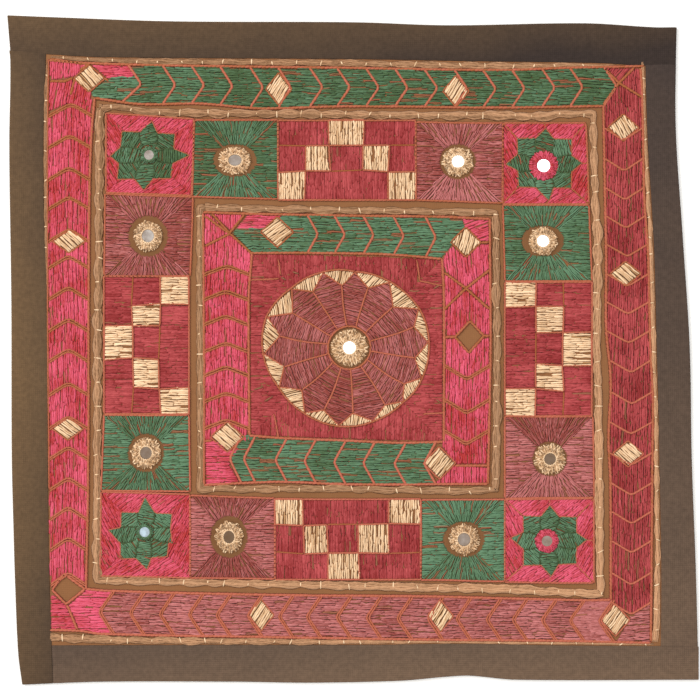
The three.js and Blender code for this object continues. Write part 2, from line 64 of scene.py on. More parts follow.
# A line of the layout, as rows of along, offset. Its name says if it runs along x (top and bottom) or y.
LINES: dict[str, list[list[float]]] = {
    "edge_top": [[-207.6, 201], [-178.2, 199.8], [-109.2, 197.4], [1.2, 196.8], [56.4, 195], [139.2, 196.2],
        [180.6, 193.8], [194.4, 193.8]],
    "edge_right": [[-198, 207.6], [-129.6, 205.8], [-63.6, 203.4], [2.4, 202.2], [68.4, 198], [134.4, 193.8],
        [193.8, 194.4]],
    "edge_bottom": [[-198.6, -201], [-150.6, -199.2], [-67.8, -199.2], [-26.4, -199.8], [28.8, -198.6],
        [56.4, -196.2], [70.2, -195.6], [97.8, -198], [207.6, -198]],
    "edge_left": [[-201, -198.6], [-182.4, -201], [-142.8, -202.8], [-103.2, -204], [-63.6, -204.9],
        [30, -205.2],
        [121.2, -206.4], [174, -205.8], [187.2, -207.4], [201, -207.6]],
    "seam_top": [[-205.8, 179.4], [-183.6, 177.6], [-151.8, 175.8], [-1.8, 174.6], [70.2, 173.4],
        [148.2, 172.2],
        [174.6, 170.7], [193.8, 171]],
    "seam_right": [[-178.2, 184.8], [-132, 185.1], [-72, 184], [-30, 183.2], [6, 182.2], [54, 181],
        [87, 179.3],
        [126, 176.9], [171, 175.5]],
    "seam_bottom": [[-181.2, -177.3], [-73.8, -177], [10.2, -177], [62.4, -176.4], [124.2, -177.3],
        [207.6, -177.9]],
    "seam_left": [[-200.4, -180], [-177, -180.9], [-126, -182.4], [-78, -183], [30, -183.3], [72, -185.2],
        [132, -185.8], [178.2, -184.2]],
    "outer_a_top": [[-183.6, 174], [-160.8, 172.2], [-91.8, 170.4], [-1.8, 169.2], [88.2, 168],
        [124.2, 169.2],
        [174.6, 170.4]],
    "outer_a_right": [[-175.8, 178.8], [-60, 180], [-30, 180.3], [0, 178.8], [60, 177.4], [90, 175.2],
        [150, 173.7],
        [170.4, 172.5]],
    "outer_a_bottom": [[-182.4, -168], [-163.8, -168.6], [-151.8, -170.4], [-61.8, -172.2], [52.2, -174],
        [124.2, -174.6], [179.4, -175.8]],
    "outer_a_left": [[-168, -181.2], [-126, -181.8], [-78, -182.4], [66, -183], [132, -183], [175.2, -182.7]],
    "outer_b_top": [[-154.8, 151.2], [-127.8, 147.6], [-91.8, 147.9], [-55.8, 145.2], [-1.8, 146.4],
        [88.2, 145.5],
        [148.2, 146.4]],
    "outer_b_right": [[-150, 154.8], [-78, 154.5], [-54, 153.3], [-18, 154.5], [12, 151.8], [48, 151.8],
        [147, 150.3]],
    "outer_b_bottom": [[-160.2, -143.4], [-145.8, -144.6], [-61.8, -147], [52.2, -148.5], [136.2, -150.3],
        [154.8, -150]],
    "outer_b_left": [[-144, -160.2], [-78, -159], [90, -157.8], [132, -156.6], [153, -154.8]],
    "core_a_top": [[-90, 82.8], [-67.8, 81.9], [-1.8, 80.4], [52.2, 79.8], [82.8, 78.6]],
    "core_a_right": [[-80.4, 81], [0, 82.5], [78.6, 82.2]],
    "core_a_bottom": [[-89.4, -81], [-43.8, -79.2], [-1.8, -80.7], [81, -80.4]],
    "core_a_left": [[-81, -89.4], [0, -89.7], [82.8, -90]],
    "core_b_top": [[-63, 58.2], [-13.8, 58.2], [28.2, 57], [53.4, 54.6]],
    "core_b_right": [[-54.6, 54.6], [30, 54.6], [57, 53.4]],
    "core_b_bottom": [[-62.4, -51.3], [-43.8, -52.8], [-1.8, -54.6], [28.2, -55.8], [53.4, -55.2]],
    "core_b_left": [[-51.6, -62.1], [30, -62.7], [58.2, -60.6]],
}

# The middle line of each cord, as rows of along, offset, half width. A name ends in the side it runs along.
CORDS: dict[str, list[list[float]]] = {
    "outer_top": [[-178.8, 175.6, 0.7], [-151.8, 174.1, 1], [-115.8, 173.1, 1.6], [-67.8, 172.9, 1.6],
        [-1.8, 172.1, 1.7], [88.2, 170.4, 1.8], [124.2, 170.9, 1], [155.4, 170.9, 0.5]],
    "outer_right": [[-172.8, 181.7, 1.8], [-132, 182.8, 1.5], [-72, 182.1, 1.2], [-30, 181.6, 1],
        [6, 180.2, 1.3],
        [54, 179.1, 1.2], [87, 177.5, 1.1], [126, 175.6, 0.8], [170.5, 173.9, 0.9]],
    "outer_bottom": [[-179.4, -172.5, 2.3], [-163.8, -173.1, 2.3], [-127.8, -174.4, 1.9],
        [-61.8, -174.6, 1.7],
        [-1.8, -175.2, 1.2], [52.2, -175.2, 0.6], [124.2, -176, 0.7], [178.2, -176.6, 0.6]],
    "outer_left": [[26, -183.7, 0.15], [48, -183.9, 0.5], [90, -184.4, 0.9], [150, -184.4, 1],
        [170, -183.4, 0.8]],
    "middle_top": [[-152.4, 145.2, 1.9], [-136.8, 145.8, 1.9], [-127.8, 143.1, 2.2], [-1.8, 141.3, 2.2],
        [88.2, 140.7, 2.3], [115.2, 140.1, 2.3], [124.2, 141.6, 2.3], [141, 141.9, 1.9]],
    "middle_right": [[-140.4, 148.5, 2.4], [-66, 147.6, 2.5], [-30, 147.3, 2.4], [0, 146.4, 2.4],
        [66, 146.7, 2.4],
        [90, 145.5, 2.2], [138.6, 144.3, 1.9]],
    "middle_bottom": [[-150, -138.3, 2.4], [-91.8, -139.5, 2], [-1.8, -141.6, 2.5], [88.2, -143.4, 2.5],
        [124.2, -145.2, 2.5], [150, -146.4, 2.5]],
    "middle_left": [[-135, -153.6, 2.3], [6, -153.3, 2.5], [42, -152.5, 2.3], [142.2, -152.1, 2.5]],
    "inner_top": [[-88.8, 85.5, 2], [-43.8, 84.6, 1.9], [28.2, 83.4, 1.9], [82.2, 82.8, 2]],
    "inner_right": [[-79.8, 85.8, 2.1], [-24, 86.4, 2.3], [79.2, 85.8, 2.1]],
    "inner_bottom": [[-88.2, -83.4, 2], [-1.8, -83.4, 1.9], [64.2, -84.6, 2.2], [87, -83.7, 1.6]],
    "inner_left": [[-80.4, -91.5, 2], [-24, -91.5, 2.1], [82.8, -92.1, 2]],
}


def curve(rows: list[list[float]], at: float, column: int = 1) -> float:
    """Reads a smooth curve through rows of along, value, which goes straight on past its ends.

    Args:
        rows: The curve's points, ordered by their first number.
        at: The place along it.
        column: Which number of a row is the value.

    Returns:
        The value there.
    """
    def slope(i: int, j: int) -> float:
        """The mean slope between two rows."""
        return (rows[j][column] - rows[i][column]) / (rows[j][0] - rows[i][0])

    last = len(rows) - 1
    if at <= rows[0][0]:
        return rows[0][column] + (at - rows[0][0]) * slope(0, 1)
    if at >= rows[last][0]:
        return rows[last][column] + (at - rows[last][0]) * slope(last - 1, last)
    i = next(k for k in range(last) if at < rows[k + 1][0])
    span = rows[i + 1][0] - rows[i][0]
    t = (at - rows[i][0]) / span
    lead, tail = slope(max(i - 1, 0), i + 1) * span, slope(i, min(i + 2, last)) * span
    a, b = rows[i][column], rows[i + 1][column]
    return a + t * (lead + t * (3 * (b - a) - 2 * lead - tail + t * (2 * (a - b) + lead + tail)))


def along_x(name: str) -> bool:
    """Whether a line runs along x."""
    return name.endswith(("top", "bottom"))


def place(name: str, along: float, offset: float) -> Point:
    """The point at a distance along and aside of a side's direction."""
    return (along, offset) if along_x(name) else (offset, along)


def on_line(name: str, along: float, aside: float = 0.0) -> Point:
    """The point of a layout line at a place along it, moved aside by a distance."""
    return place(name, along, curve(LINES[name], along) + aside)


def run(name: str, start: float, end: float, aside: float = 0.0, step: float = 3.0) -> Run:
    """Points on a layout line from one place to another, evenly spread."""
    count = max(1, round(abs(end - start) / step))
    return [on_line(name, start + (end - start) * i / count, aside) for i in range(count + 1)]


def mix(a: Point, b: Point, share: float) -> Point:
    """The point at a share of the way from one point to another."""
    return (a[0] + (b[0] - a[0]) * share, a[1] + (b[1] - a[1]) * share)


def polar(x: float, y: float, rx: float, ry: float, degrees: float) -> Point:
    """The point of an ellipse at an angle."""
    turn = math.radians(degrees)
    return (x + rx * math.cos(turn), y + ry * math.sin(turn))


def circle(centre: Point, radius: float, sides: int = 24) -> Run:
    """A round outline."""
    return [polar(*centre, radius, radius, i * 360 / sides) for i in range(sides)]


def pairs(flat: list[float]) -> Run:
    """A run of points from x, y, x, y."""
    return [(flat[i], flat[i + 1]) for i in range(0, len(flat), 2)]


def rounded(points: Run, passes: int = 2, share: float = 0.25) -> Run:
    """Cuts the inner corners of an open run, so that it bends as thread does.

    Args:
        points: The run.
        passes: How many times every corner is cut.
        share: How far from a corner it is cut, as a share of the way to the next point.

    Returns:
        The softened run.
    """
    for _ in range(passes):
        cut = [points[0]]
        for a, b in zip(points, points[1:]):
            cut += [mix(a, b, share), mix(a, b, 1 - share)]
        points = [*cut, points[-1]]
    return points


def spread(points: Run, step: float) -> np.ndarray:
    """Resamples an open run evenly.

    Args:
        points: The run.
        step: About how far apart the new points are.

    Returns:
        The new points, one row each.
    """
    xy = np.asarray(points, float)
    reach = np.concatenate([[0.0], np.cumsum(np.hypot(*np.diff(xy, axis=0).T))])
    places = np.linspace(0, reach[-1], max(2, round(reach[-1] / step) + 1))
    return np.stack([np.interp(places, reach, xy[:, 0]), np.interp(places, reach, xy[:, 1])], 1)


def hatch(outline: Run, angle: float, spacing: float, rng: np.random.Generator,
          holes: tuple[Run, ...] = ()) -> list[np.ndarray]:
    """Straight runs side by side that fill an outline.

    Args:
        outline: The closed outline.
        angle: Degrees from x to the runs.
        spacing: Distance between runs.
        rng: Source of the small unevenness.
        holes: Closed outlines inside it that stay bare.

    Returns:
        The two ends of each run.
    """
    turn = math.radians(angle)
    c, s = math.cos(turn), math.sin(turn)
    loops = [np.asarray(loop, float) @ np.array([[c, -s], [s, c]]) for loop in (outline, *holes)]
    low, high = loops[0][:, 1].min(), loops[0][:, 1].max()
    count = max(1, round((high - low) / spacing))
    runs = []
    for k in range(count):
        level = low + (k + 0.5 + rng.uniform(-UNEVEN, UNEVEN)) * (high - low) / count
        crossings = []
        for loop in loops:
            ahead = np.roll(loop, -1, 0)
            met = (loop[:, 1] <= level) != (ahead[:, 1] <= level)
            a, b = loop[met], ahead[met]
            crossings.append(np.sort(a[:, 0] + (level - a[:, 1]) / (b[:, 1] - a[:, 1]) * (b[:, 0] - a[:, 0])))
        kept = list(zip(crossings[0][::2], crossings[0][1::2]))
        for bare in crossings[1:]:
            for start, stop in zip(bare[::2], bare[1::2]):
                halves = [((left, min(right, start)), (max(left, stop), right)) for left, right in kept]
                kept = [half for both in halves for half in both if half[1] > half[0]]
        for left, right in kept:
            if right - left > SHORTEST_RUN:
                runs.append(np.array([[left, level], [right, level]]) @ np.array([[c, s], [-s, c]]))
    return runs


def linear(value: str) -> tuple[float, float, float, float]:
    """Turns an sRGB hex colour to linear, with full alpha."""
    parts = [int(value.lstrip("#")[i:i + 2], 16) / 255 for i in (0, 2, 4)]
    return (*(p / 12.92 if p <= 0.04045 else ((p + 0.055) / 1.055) ** 2.4 for p in parts), 1.0)


def add_node(tree: bpy.types.NodeTree, kind: str, feeds: dict[str | int, object] | None = None,
             **settings: object) -> bpy.types.Node:
    """Adds a node with its settings and links.

    Args:
        tree: The material's node tree.
        kind: The node's type name.
        feeds: A value, or an output socket to link, for each input by name or number.
        settings: Properties of the node itself.

    Returns:
        The new node.
    """
    node = tree.nodes.new(kind)
    for name, value in settings.items():
        setattr(node, name, value)
    for name, value in (feeds or {}).items():
        if isinstance(value, bpy.types.NodeSocket):
            tree.links.new(value, node.inputs[name])
        else:
            node.inputs[name].default_value = value
    return node


def new_material(name: str) -> tuple[bpy.types.Material, Callable[..., bpy.types.Node]]:
    """Makes an empty node material.

    Args:
        name: The material's name.

    Returns:
        The material, and the function that adds a node to it.
    """
    material = bpy.data.materials.new(name)
    material.use_nodes = True
    material.node_tree.nodes.clear()
    return material, partial(add_node, material.node_tree)


@dataclass(frozen=True)
class Floss:
    """Mercerised cotton floss, six loose strands laid as satin stitch.

    That gives the eye a soft silky gloss with painted glints, and dark lines of painted shade where strands
    part.
    """

    name: str
    dark: str
    light: str
    gap: str
    stray: str
    mottle: float = 0.7  # how far the dye's unevenness moves the tone
    glint: float = 1.5  # how far the painted glints, light and dark dashes along the strands, move it
    dash: float = 0.5  # dashes per millimetre
    parting: float = 0.48  # from 0, strands that part, with painted shade between them, all along, to 1, never
    strays: float = 0.03  # the share of runs in the stray colour

    def material(self) -> bpy.types.Material:
        """Makes the floss's finish. Its strands are 1 mm apart, coarser than the real 0.4 mm ones, to show.

        Returns:
            The material, which reads the attributes and the UV map that a skein gives its piece.
        """
        material, add = new_material(self.name)
        crown, tone, stray = (add("ShaderNodeAttribute", attribute_name=key).outputs["Fac"] for key in LOOKS)
        spot = add("ShaderNodeTexCoord").outputs["Object"]
        along = add("ShaderNodeUVMap", uv_map="floss").outputs[0]
        # Dye takes unevenly over some 15 mm.
        dye = add("ShaderNodeTexNoise", {"Vector": spot, "Scale": 65.0, "Detail": 3.0}).outputs[0]
        # Three strands to a run part, with painted shade between them, and carry painted glints, in dashes
        # some
        # 2 mm long. The run's own tone moves them, so that no two runs are alike.
        far, side, _ = add("ShaderNodeSeparateXYZ", {0: along}).outputs
        seed = add("ShaderNodeMath", {0: tone, 1: 700.0}, operation="MULTIPLY").outputs[0]
        row = add("ShaderNodeMath", {0: side, 1: 2.2, 2: seed}, operation="MULTIPLY_ADD").outputs[0]
        own = add("ShaderNodeCombineXYZ", {0: far, 1: row}).outputs[0]
        parting = add("ShaderNodeTexNoise", {"Vector": own, "Scale": self.dash, "Detail": 1.0},
                      noise_dimensions="2D").outputs[0]
        glint = add("ShaderNodeTexNoise", {"Vector": own, "Scale": self.dash * 0.7, "Detail": 2.0}).outputs[0]
        dye_and_tone = add("ShaderNodeMath", {0: dye, 1: self.mottle, 2: tone}, operation="MULTIPLY_ADD").outputs[0]
        lit = add("ShaderNodeMath", {0: glint, 1: self.glint, 2: dye_and_tone}, operation="MULTIPLY_ADD").outputs[0]
        level = add("ShaderNodeMath", {0: lit, 1: (self.mottle + self.glint) / 2}, operation="SUBTRACT",
                    use_clamp=True).outputs[0]
        body = add("ShaderNodeMix", {0: level, 6: linear(self.dark), 7: linear(self.light)},
                   data_type="RGBA").outputs[2]
        body = add("ShaderNodeMix", {0: stray, 6: body, 7: linear(self.stray)}, data_type="RGBA").outputs[2]
        # Painted shade: the gap colour darkens a run's low sides where its strands part.
        depth = add("ShaderNodeMapRange", {0: crown, 1: 0.2, 2: 0.95, 3: 1.0, 4: 0.0}).outputs[0]
        opened = add("ShaderNodeMapRange", {0: parting, 1: self.parting, 2: self.parting + 0.12, 3: 0.12,
                                            4: 0.88}).outputs[0]
        gap = add("ShaderNodeMath", {0: depth, 1: opened}, operation="MULTIPLY").outputs[0]
        body = add("ShaderNodeMix", {0: gap, 6: body, 7: linear(self.gap)}, data_type="RGBA").outputs[2]
        # The twist of the yarn, 1.4 mm a turn, as slanting ridges 0.05 mm high.
        twist = add("ShaderNodeTexWave", {"Vector": along, "Scale": 0.32, "Distortion": 1.5, "Detail": 1.0},
                    bands_direction="DIAGONAL").outputs["Fac"]
        bump = add("ShaderNodeBump", {"Strength": 0.35, "Distance": 0.05 * MM, "Height": twist}).outputs[0]
        shader = add("ShaderNodeBsdfPrincipled", {"Base Color": body, "Normal": bump, "Roughness": 0.62,
                                                  "Sheen Weight": 0.03, "Specular IOR Level": 0.18})
        add("ShaderNodeOutputMaterial", {"Surface": shader.outputs[0]})
        return material


@dataclass(frozen=True)
class PlainWeave:
    """Plain-woven cotton: matt, with a fine even grain, and a colour that goes from a deeper one to a lighter
    one.
    """

    name: str
    deeper: str
    lightened: str
    thread: float = 1.2  # millimetres between threads, coarser than the real 0.4 mm so that it shows
    grain: float = 0.16
    mottle: float = 0.35

    def material(self) -> bpy.types.Material:
        """Makes the cloth's finish: the dye, the weave's ridges and faint slubs.

        Returns:
            The material, which reads from the tone attribute how far the dye has faded.
        """
        material, add = new_material(self.name)
        spot = add("ShaderNodeTexCoord").outputs["Object"]
        paling = add("ShaderNodeAttribute", attribute_name="tone").outputs["Fac"]
        # The dye clouds over some 45 mm, and thick and thin places in the yarn are some 2.4 mm long.
        cloud = add("ShaderNodeTexNoise", {"Vector": spot, "Scale": 22.0, "Detail": 4.0}).outputs[0]
        slub = add("ShaderNodeTexNoise", {"Vector": spot, "Scale": 420.0, "Detail": 2.0}).outputs[0]
        # A wave repeats 20 times in 2 pi divided by its scale, here once for every thread.
        scale = 2 * math.pi / (20 * self.thread * MM)
        ridges = [add("ShaderNodeTexWave", {"Vector": spot, "Scale": scale, "Distortion": 0.8, "Detail": 1.0},
                      bands_direction=way).outputs["Fac"] for way in ("X", "Y")]
        weave = add("ShaderNodeMath", {0: ridges[0], 1: ridges[1]}, operation="MULTIPLY").outputs[0]
        dye_and_tone = add("ShaderNodeMath", {0: cloud, 1: self.mottle, 2: paling}, operation="MULTIPLY_ADD").outputs[0]
        tone = add("ShaderNodeMath", {0: dye_and_tone, 1: self.mottle / 2}, operation="SUBTRACT",
                   use_clamp=True).outputs[0]
        body = add("ShaderNodeMix", {0: tone, 6: linear(self.deeper), 7: linear(self.lightened)},
                   data_type="RGBA").outputs[2]
        threads = add("ShaderNodeMath", {0: weave, 1: slub}, operation="ADD").outputs[0]
        shade = add("ShaderNodeMath", {0: threads, 1: self.grain, 2: 1 - self.grain * 0.75},
                    operation="MULTIPLY_ADD").outputs[0]
        grey = add("ShaderNodeCombineColor", {0: shade, 1: shade, 2: shade}).outputs[0]
        body = add("ShaderNodeMix", {0: 1.0, 6: body, 7: grey}, data_type="RGBA",
                   blend_type="MULTIPLY").outputs[2]
        bump = add("ShaderNodeBump", {"Strength": 0.5, "Distance": 0.1 * MM, "Height": weave}).outputs[0]
        shader = add("ShaderNodeBsdfPrincipled", {"Base Color": body, "Normal": bump, "Roughness": 0.92,
                                                  "Sheen Weight": 0.08, "Specular IOR Level": 0.2})
        add("ShaderNodeOutputMaterial", {"Surface": shader.outputs[0]})
        return material


@dataclass(frozen=True)
class MirrorGlass:
    """Hand-blown silvered glass, cut round: a clear gloss over silver that tarnish and a painted reflection
    make bright or dark.
    """

    name: str = "silvered_glass"
    # The dark colour is tarnish together with a painted dark reflection; the sky colour is a painted
    # reflection of blue sky.
    tarnish_and_dark_reflection: str = "#42301f"
    sky: str = "#b4cfe2"
    bright: str = "#fdfefe"

    def material(self) -> bpy.types.Material:
        """Makes the glass's finish.

        Returns:
            The material. A disc's tone attribute says how bright its silver is drawn, partly by tarnish and
            partly by a painted reflection; its cold one says how much painted blue sky it shows.
        """
        material, add = new_material(self.name)
        spot = add("ShaderNodeTexCoord").outputs["Object"]
        tone, cold = (add("ShaderNodeAttribute", attribute_name=key).outputs["Fac"]
                      for key in ("tone", "cold"))
        # The silver wears away in patches some 3 mm wide.
        haze = add("ShaderNodeTexNoise", {"Vector": spot, "Scale": 300.0, "Detail": 3.0}).outputs[0]
        patchy = add("ShaderNodeMath", {0: haze, 1: 1.8, 2: 0.15}, operation="MULTIPLY_ADD").outputs[0]
        wear_and_reflection = add("ShaderNodeMath", {0: tone, 1: patchy}, operation="MULTIPLY", use_clamp=True).outputs[0]
        body = add("ShaderNodeMix", {0: wear_and_reflection, 6: linear(self.tarnish_and_dark_reflection), 7: linear(self.bright)},
                   data_type="RGBA").outputs[2]
        body = add("ShaderNodeMix", {0: cold, 6: body, 7: linear(self.sky)}, data_type="RGBA",
                   blend_type="MULTIPLY").outputs[2]
        shader = add("ShaderNodeBsdfPrincipled", {"Base Color": body, "Metallic": 1.0, "Roughness": 0.12})
        add("ShaderNodeOutputMaterial", {"Surface": shader.outputs[0]})
        return material


class Colour(Enum):
    """The floss colours, with the finish of each: its dark tone, light tone, painted gap shade and stray
    strands.
    """

    GREEN = Floss("green_cotton_floss", "#435a38", "#638769", "#38300c", "#9a583e", mottle=0.9, glint=1.8,
                  strays=0.09)
    PINK = Floss("pink_cotton_floss", "#a8302e", "#da5c76", "#8a1c28", "#b05a50", mottle=1.5, glint=1.7,
                 dash=0.65, parting=0.5)
    CRIMSON = Floss("crimson_cotton_floss", "#842626", "#b64e50", "#501414", "#8a5c40", mottle=1.4, glint=1.6,
                    dash=0.6, strays=0.012)
    MAUVE = Floss("mauve_cotton_floss", "#883e36", "#c27876", "#501c14", "#9c6248", mottle=0.8, glint=1.8)
    IVORY = Floss("ivory_cotton_floss", "#ba8e62", "#f6d6b0", "#64401f", "#b98d60", mottle=0.5, parting=0.42)
    RUST = Floss("rust_cotton_floss", "#98582e", "#b8644e", "#642e1c", "#96603a", mottle=0.4, strays=0)
    TAN = Floss("tan_cotton_cord", "#846042", "#c69670", "#583820", "#a88060", mottle=0.7)


# A run's section, as rows of across and up: a rounded top on a low skirt, which tucks under its neighbours so
# that no ground shows between them. The crown says which of its corners are clear of the painted shade in the
# gaps.
PROFILE = np.array([[1.3, 0.12], [0.45, 0.97], [-0.45, 0.97], [-1.3, 0.12]])
CROWN = np.array([0.0, 1.0, 1.0, 0.0])
SIDES = len(PROFILE)  # faces round a run


@dataclass
class Skein:
    """Rounded runs of thread, gathered as arrays and made one joined mesh."""

    points: list[np.ndarray] = field(default_factory=list)
    faces: list[np.ndarray] = field(default_factory=list)
    looks: list[np.ndarray] = field(default_factory=list)
    count: int = 0

    def lay(self, path: np.ndarray, half: np.ndarray, foot: np.ndarray | float, rise: np.ndarray,
            tone: np.ndarray | float, stray: float = 0.0, crown: tuple[float, float] = (0.0, 1.0)) -> None:
        """Lays one run of thread, closed all round.

        Args:
            path: Its line, one row of x, y for each station.
            half: Its half width at each station.
            foot: The height of its underside.
            rise: Its height above that at each station.
            tone: From 0, the floss's dark tone, to 1, its light one.
            stray: How much of its colour is the stray one.
            crown: How clear of the painted shade in the gaps its foot and its top are.
        """
        n = len(path)
        ahead = np.gradient(path, axis=0)
        ahead /= np.maximum(np.hypot(ahead[:, 0], ahead[:, 1]), 1e-9)[:, None]
        left = np.stack([-ahead[:, 1], ahead[:, 0]], 1)
        xy = path[:, None, :] + left[:, None, :] * (half[:, None] * PROFILE[:, 0])[:, :, None]
        z = np.broadcast_to(foot, n)[:, None] + rise[:, None] * PROFILE[:, 1]
        self.points.append(np.concatenate([xy, z[:, :, None]], 2).reshape(-1, 3))
        far = np.concatenate([[0.0], np.cumsum(np.hypot(*np.diff(path, axis=0).T))])
        look = np.empty((n, SIDES, len(LOOKS) + 2))
        look[..., 0] = crown[0] + CROWN * (crown[1] - crown[0])
        look[..., 1] = np.broadcast_to(tone, n)[:, None]
        look[..., 2] = stray
        look[..., 3] = far[:, None]
        look[..., 4] = PROFILE[:, 0]
        self.looks.append(look.reshape(n * SIDES, -1))
        start = np.arange(n - 1)[:, None] * SIDES + self.count
        k = np.arange(SIDES)
        k1 = (k + 1) % SIDES
        sides = [start + k, start + k1, start + SIDES + k1, start + SIDES + k]
        self.faces.append(np.stack(sides, 2).reshape(-1, 4))
        self.faces.append(np.array([self.count + k[::-1], self.count + (n - 1) * SIDES + k]))
        self.count += n * SIDES

    def piece(self, name: str, finish: bpy.types.Material, slot: str) -> bpy.types.Object:
        """Makes the joined mesh, which rides on the part.

        Args:
            name: The piece's name.
            finish: Its material.
            slot: Not used.

        Returns:
            The piece.
        """
        loops = np.concatenate(self.faces).astype(np.int32).ravel()
        look = np.concatenate(self.looks)
        mesh = bpy.data.meshes.new(name)
        mesh.vertices.add(self.count)
        mesh.vertices.foreach_set("co", (np.concatenate(self.points) * MM).astype(np.float32).ravel())
        mesh.loops.add(len(loops))
        mesh.loops.foreach_set("vertex_index", loops)
        mesh.polygons.add(len(loops) // 4)
        mesh.polygons.foreach_set("loop_start", np.arange(0, len(loops), 4, dtype=np.int32))
        mesh.polygons.foreach_set("use_smooth", np.ones(len(loops) // 4, bool))
        mesh.update(calc_edges=True)
        for column, key in enumerate(LOOKS):
            values = look[:, column].astype(np.float32)
            mesh.attributes.new(key, "FLOAT", "POINT").data.foreach_set("value", values)
        floss_map = look[loops, len(LOOKS):].astype(np.float32).ravel()
        mesh.uv_layers.new(name="floss").data.foreach_set("uv", floss_map)
        piece = bpy.data.objects.new(name, mesh)
        bpy.context.scene.collection.objects.link(piece)
        return finished(piece, finish)


def finished(piece: bpy.types.Object, finish: bpy.types.Material) -> bpy.types.Object:
    """Dresses a piece and lets it ride on the part.

    Args:
        piece: The piece, in its place.
        finish: Its material.

    Returns:
        The same piece.
    """
    piece.data.materials.clear()
    piece.data.materials.append(finish)
    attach(piece, "root")
    return piece


def alone(piece: bpy.types.Object) -> None:
    """Selects one piece and nothing else.

    Args:
        piece: The piece.
    """
    bpy.ops.object.select_all(action="DESELECT")
    piece.select_set(True)
    bpy.context.view_layer.objects.active = piece


def apply_modifiers(piece: bpy.types.Object) -> None:
    """Applies every modifier of a piece, in order.

    Args:
        piece: The piece.
    """
    alone(piece)
    for modifier in list(piece.modifiers):
        bpy.ops.object.modifier_apply(modifier=modifier.name)


def cloth_grid(name: str, columns: int, rows: int) -> tuple[bpy.types.Object, np.ndarray]:
    """A flat grid to be shaped into a piece of cloth.

    Args:
        name: The piece's name.
        columns: Faces across.
        rows: Faces along.

    Returns:
        The piece, and the place of each vertex as two numbers from 0 to 1.
    """
    bpy.ops.object.select_all(action="DESELECT")
    bpy.ops.mesh.primitive_grid_add(x_subdivisions=columns, y_subdivisions=rows, size=1.0)
    piece = bpy.context.active_object
    piece.name = piece.data.name = name
    flat = np.zeros(len(piece.data.vertices) * 3)
    piece.data.vertices.foreach_get("co", flat)
    return piece, flat.reshape(-1, 3)[:, :2] + 0.5


def shape_cloth(piece: bpy.types.Object, places: np.ndarray, tone: np.ndarray, thickness: float,
                roll: float) -> None:
    """Moves a grid to its places, and gives it its thickness and a rolled edge.

    Args:
        piece: The grid.
        places: Its vertices' places on the upper face, in millimetres.
        tone: From 0, fresh, to 1, faded, at each vertex.
        thickness: The cloth's thickness in millimetres.
        roll: How far its edge is rounded.
    """
    mesh = piece.data
    mesh.vertices.foreach_set("co", (places * MM).astype(np.float32).ravel())
    mesh.attributes.new("tone", "FLOAT", "POINT").data.foreach_set("value", tone.astype(np.float32))
    mesh.update()
    if mesh.polygons[0].normal.z < 0:
        mesh.flip_normals()
    thick = piece.modifiers.new("Thickness", "SOLIDIFY")
    thick.thickness, thick.offset, thick.use_even_offset = thickness * MM, -1, True
    edge = piece.modifiers.new("Rolled edge", "BEVEL")
    edge.width, edge.segments = roll * MM, 3
    edge.limit_method, edge.angle_limit = "ANGLE", math.radians(50)
    apply_modifiers(piece)
    mesh.polygons.foreach_set("use_smooth", np.ones(len(mesh.polygons), bool))
    mesh.update()


@dataclass
class GroundCloth:
    """The brown cotton that the stitching is worked on, seen beside the cords and round the mirrors."""

    mirrors: list[Point]
    low_corner: Point = (-182, -177)  # of the plain box that is then fitted between the seams
    size: Point = (364, 352)
    columns: int = 80
    rows: int = 80
    thickness: float = 1.1
    ripple: float = 0.05
    darkest_within: float = 9.0  # how far from a mirror's middle the cloth stays at its darkest
    paler_over: float = 14.0  # how far beyond that it grows paler
    weave: PlainWeave = PlainWeave("brown_plain_cotton", "#664629", "#976642", mottle=0.4)

    def build(self) -> bpy.types.Object:
        """Shapes the cloth between the four seams.

        Returns:
            The cloth.
        """
        piece, uv = cloth_grid("ground_cloth", self.columns, self.rows)
        spots = []
        for u, v in uv:
            x, y = self.low_corner[0] + self.size[0] * u, self.low_corner[1] + self.size[1] * v
            # Each seam's place depends on the other number, so the two are settled in turns.
            for _ in range(3):
                low, high = curve(LINES["seam_bottom"], x) - TUCK, curve(LINES["seam_top"], x) + TUCK
                y = (1 - v) * low + v * high
                left, right = curve(LINES["seam_left"], y) - TUCK, curve(LINES["seam_right"], y) + TUCK
                x = (1 - u) * left + u * right
            wave = math.sin(x * 0.31 + 2 * math.sin(y * 0.11)) * math.sin(y * 0.27)
            spots.append((x, y, GROUND_TOP + self.ripple * wave))
        places = np.array(spots)
        near = np.hypot(*(places[:, None, :2] - np.array(self.mirrors)).transpose(2, 0, 1)).min(1)
        tone = np.clip((near - self.darkest_within) / self.paler_over, 0.25, 0.6)
        shape_cloth(piece, places, tone, self.thickness, 0.25)
        finished(piece, self.weave.material())
        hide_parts("panel")
        return piece


# Where the top and bottom strips start and how long they are, first on the outer edge, then on the seam.
STRIP_SPANS = {"top": ((-207.6, 402), (-205.8, 399.6)), "bottom": ((-180, 387.6), (-180.8, 388.4))}
# Where the two uprights start, on the outer edge and on the seam, and the x at which each of those lines runs
# in under the top strip's seam.
UPRIGHTS = {"left": ((-201, -200.2), (-206.1, -185)), "right": ((-178.3, -177.8), (193.7, 175.9))}


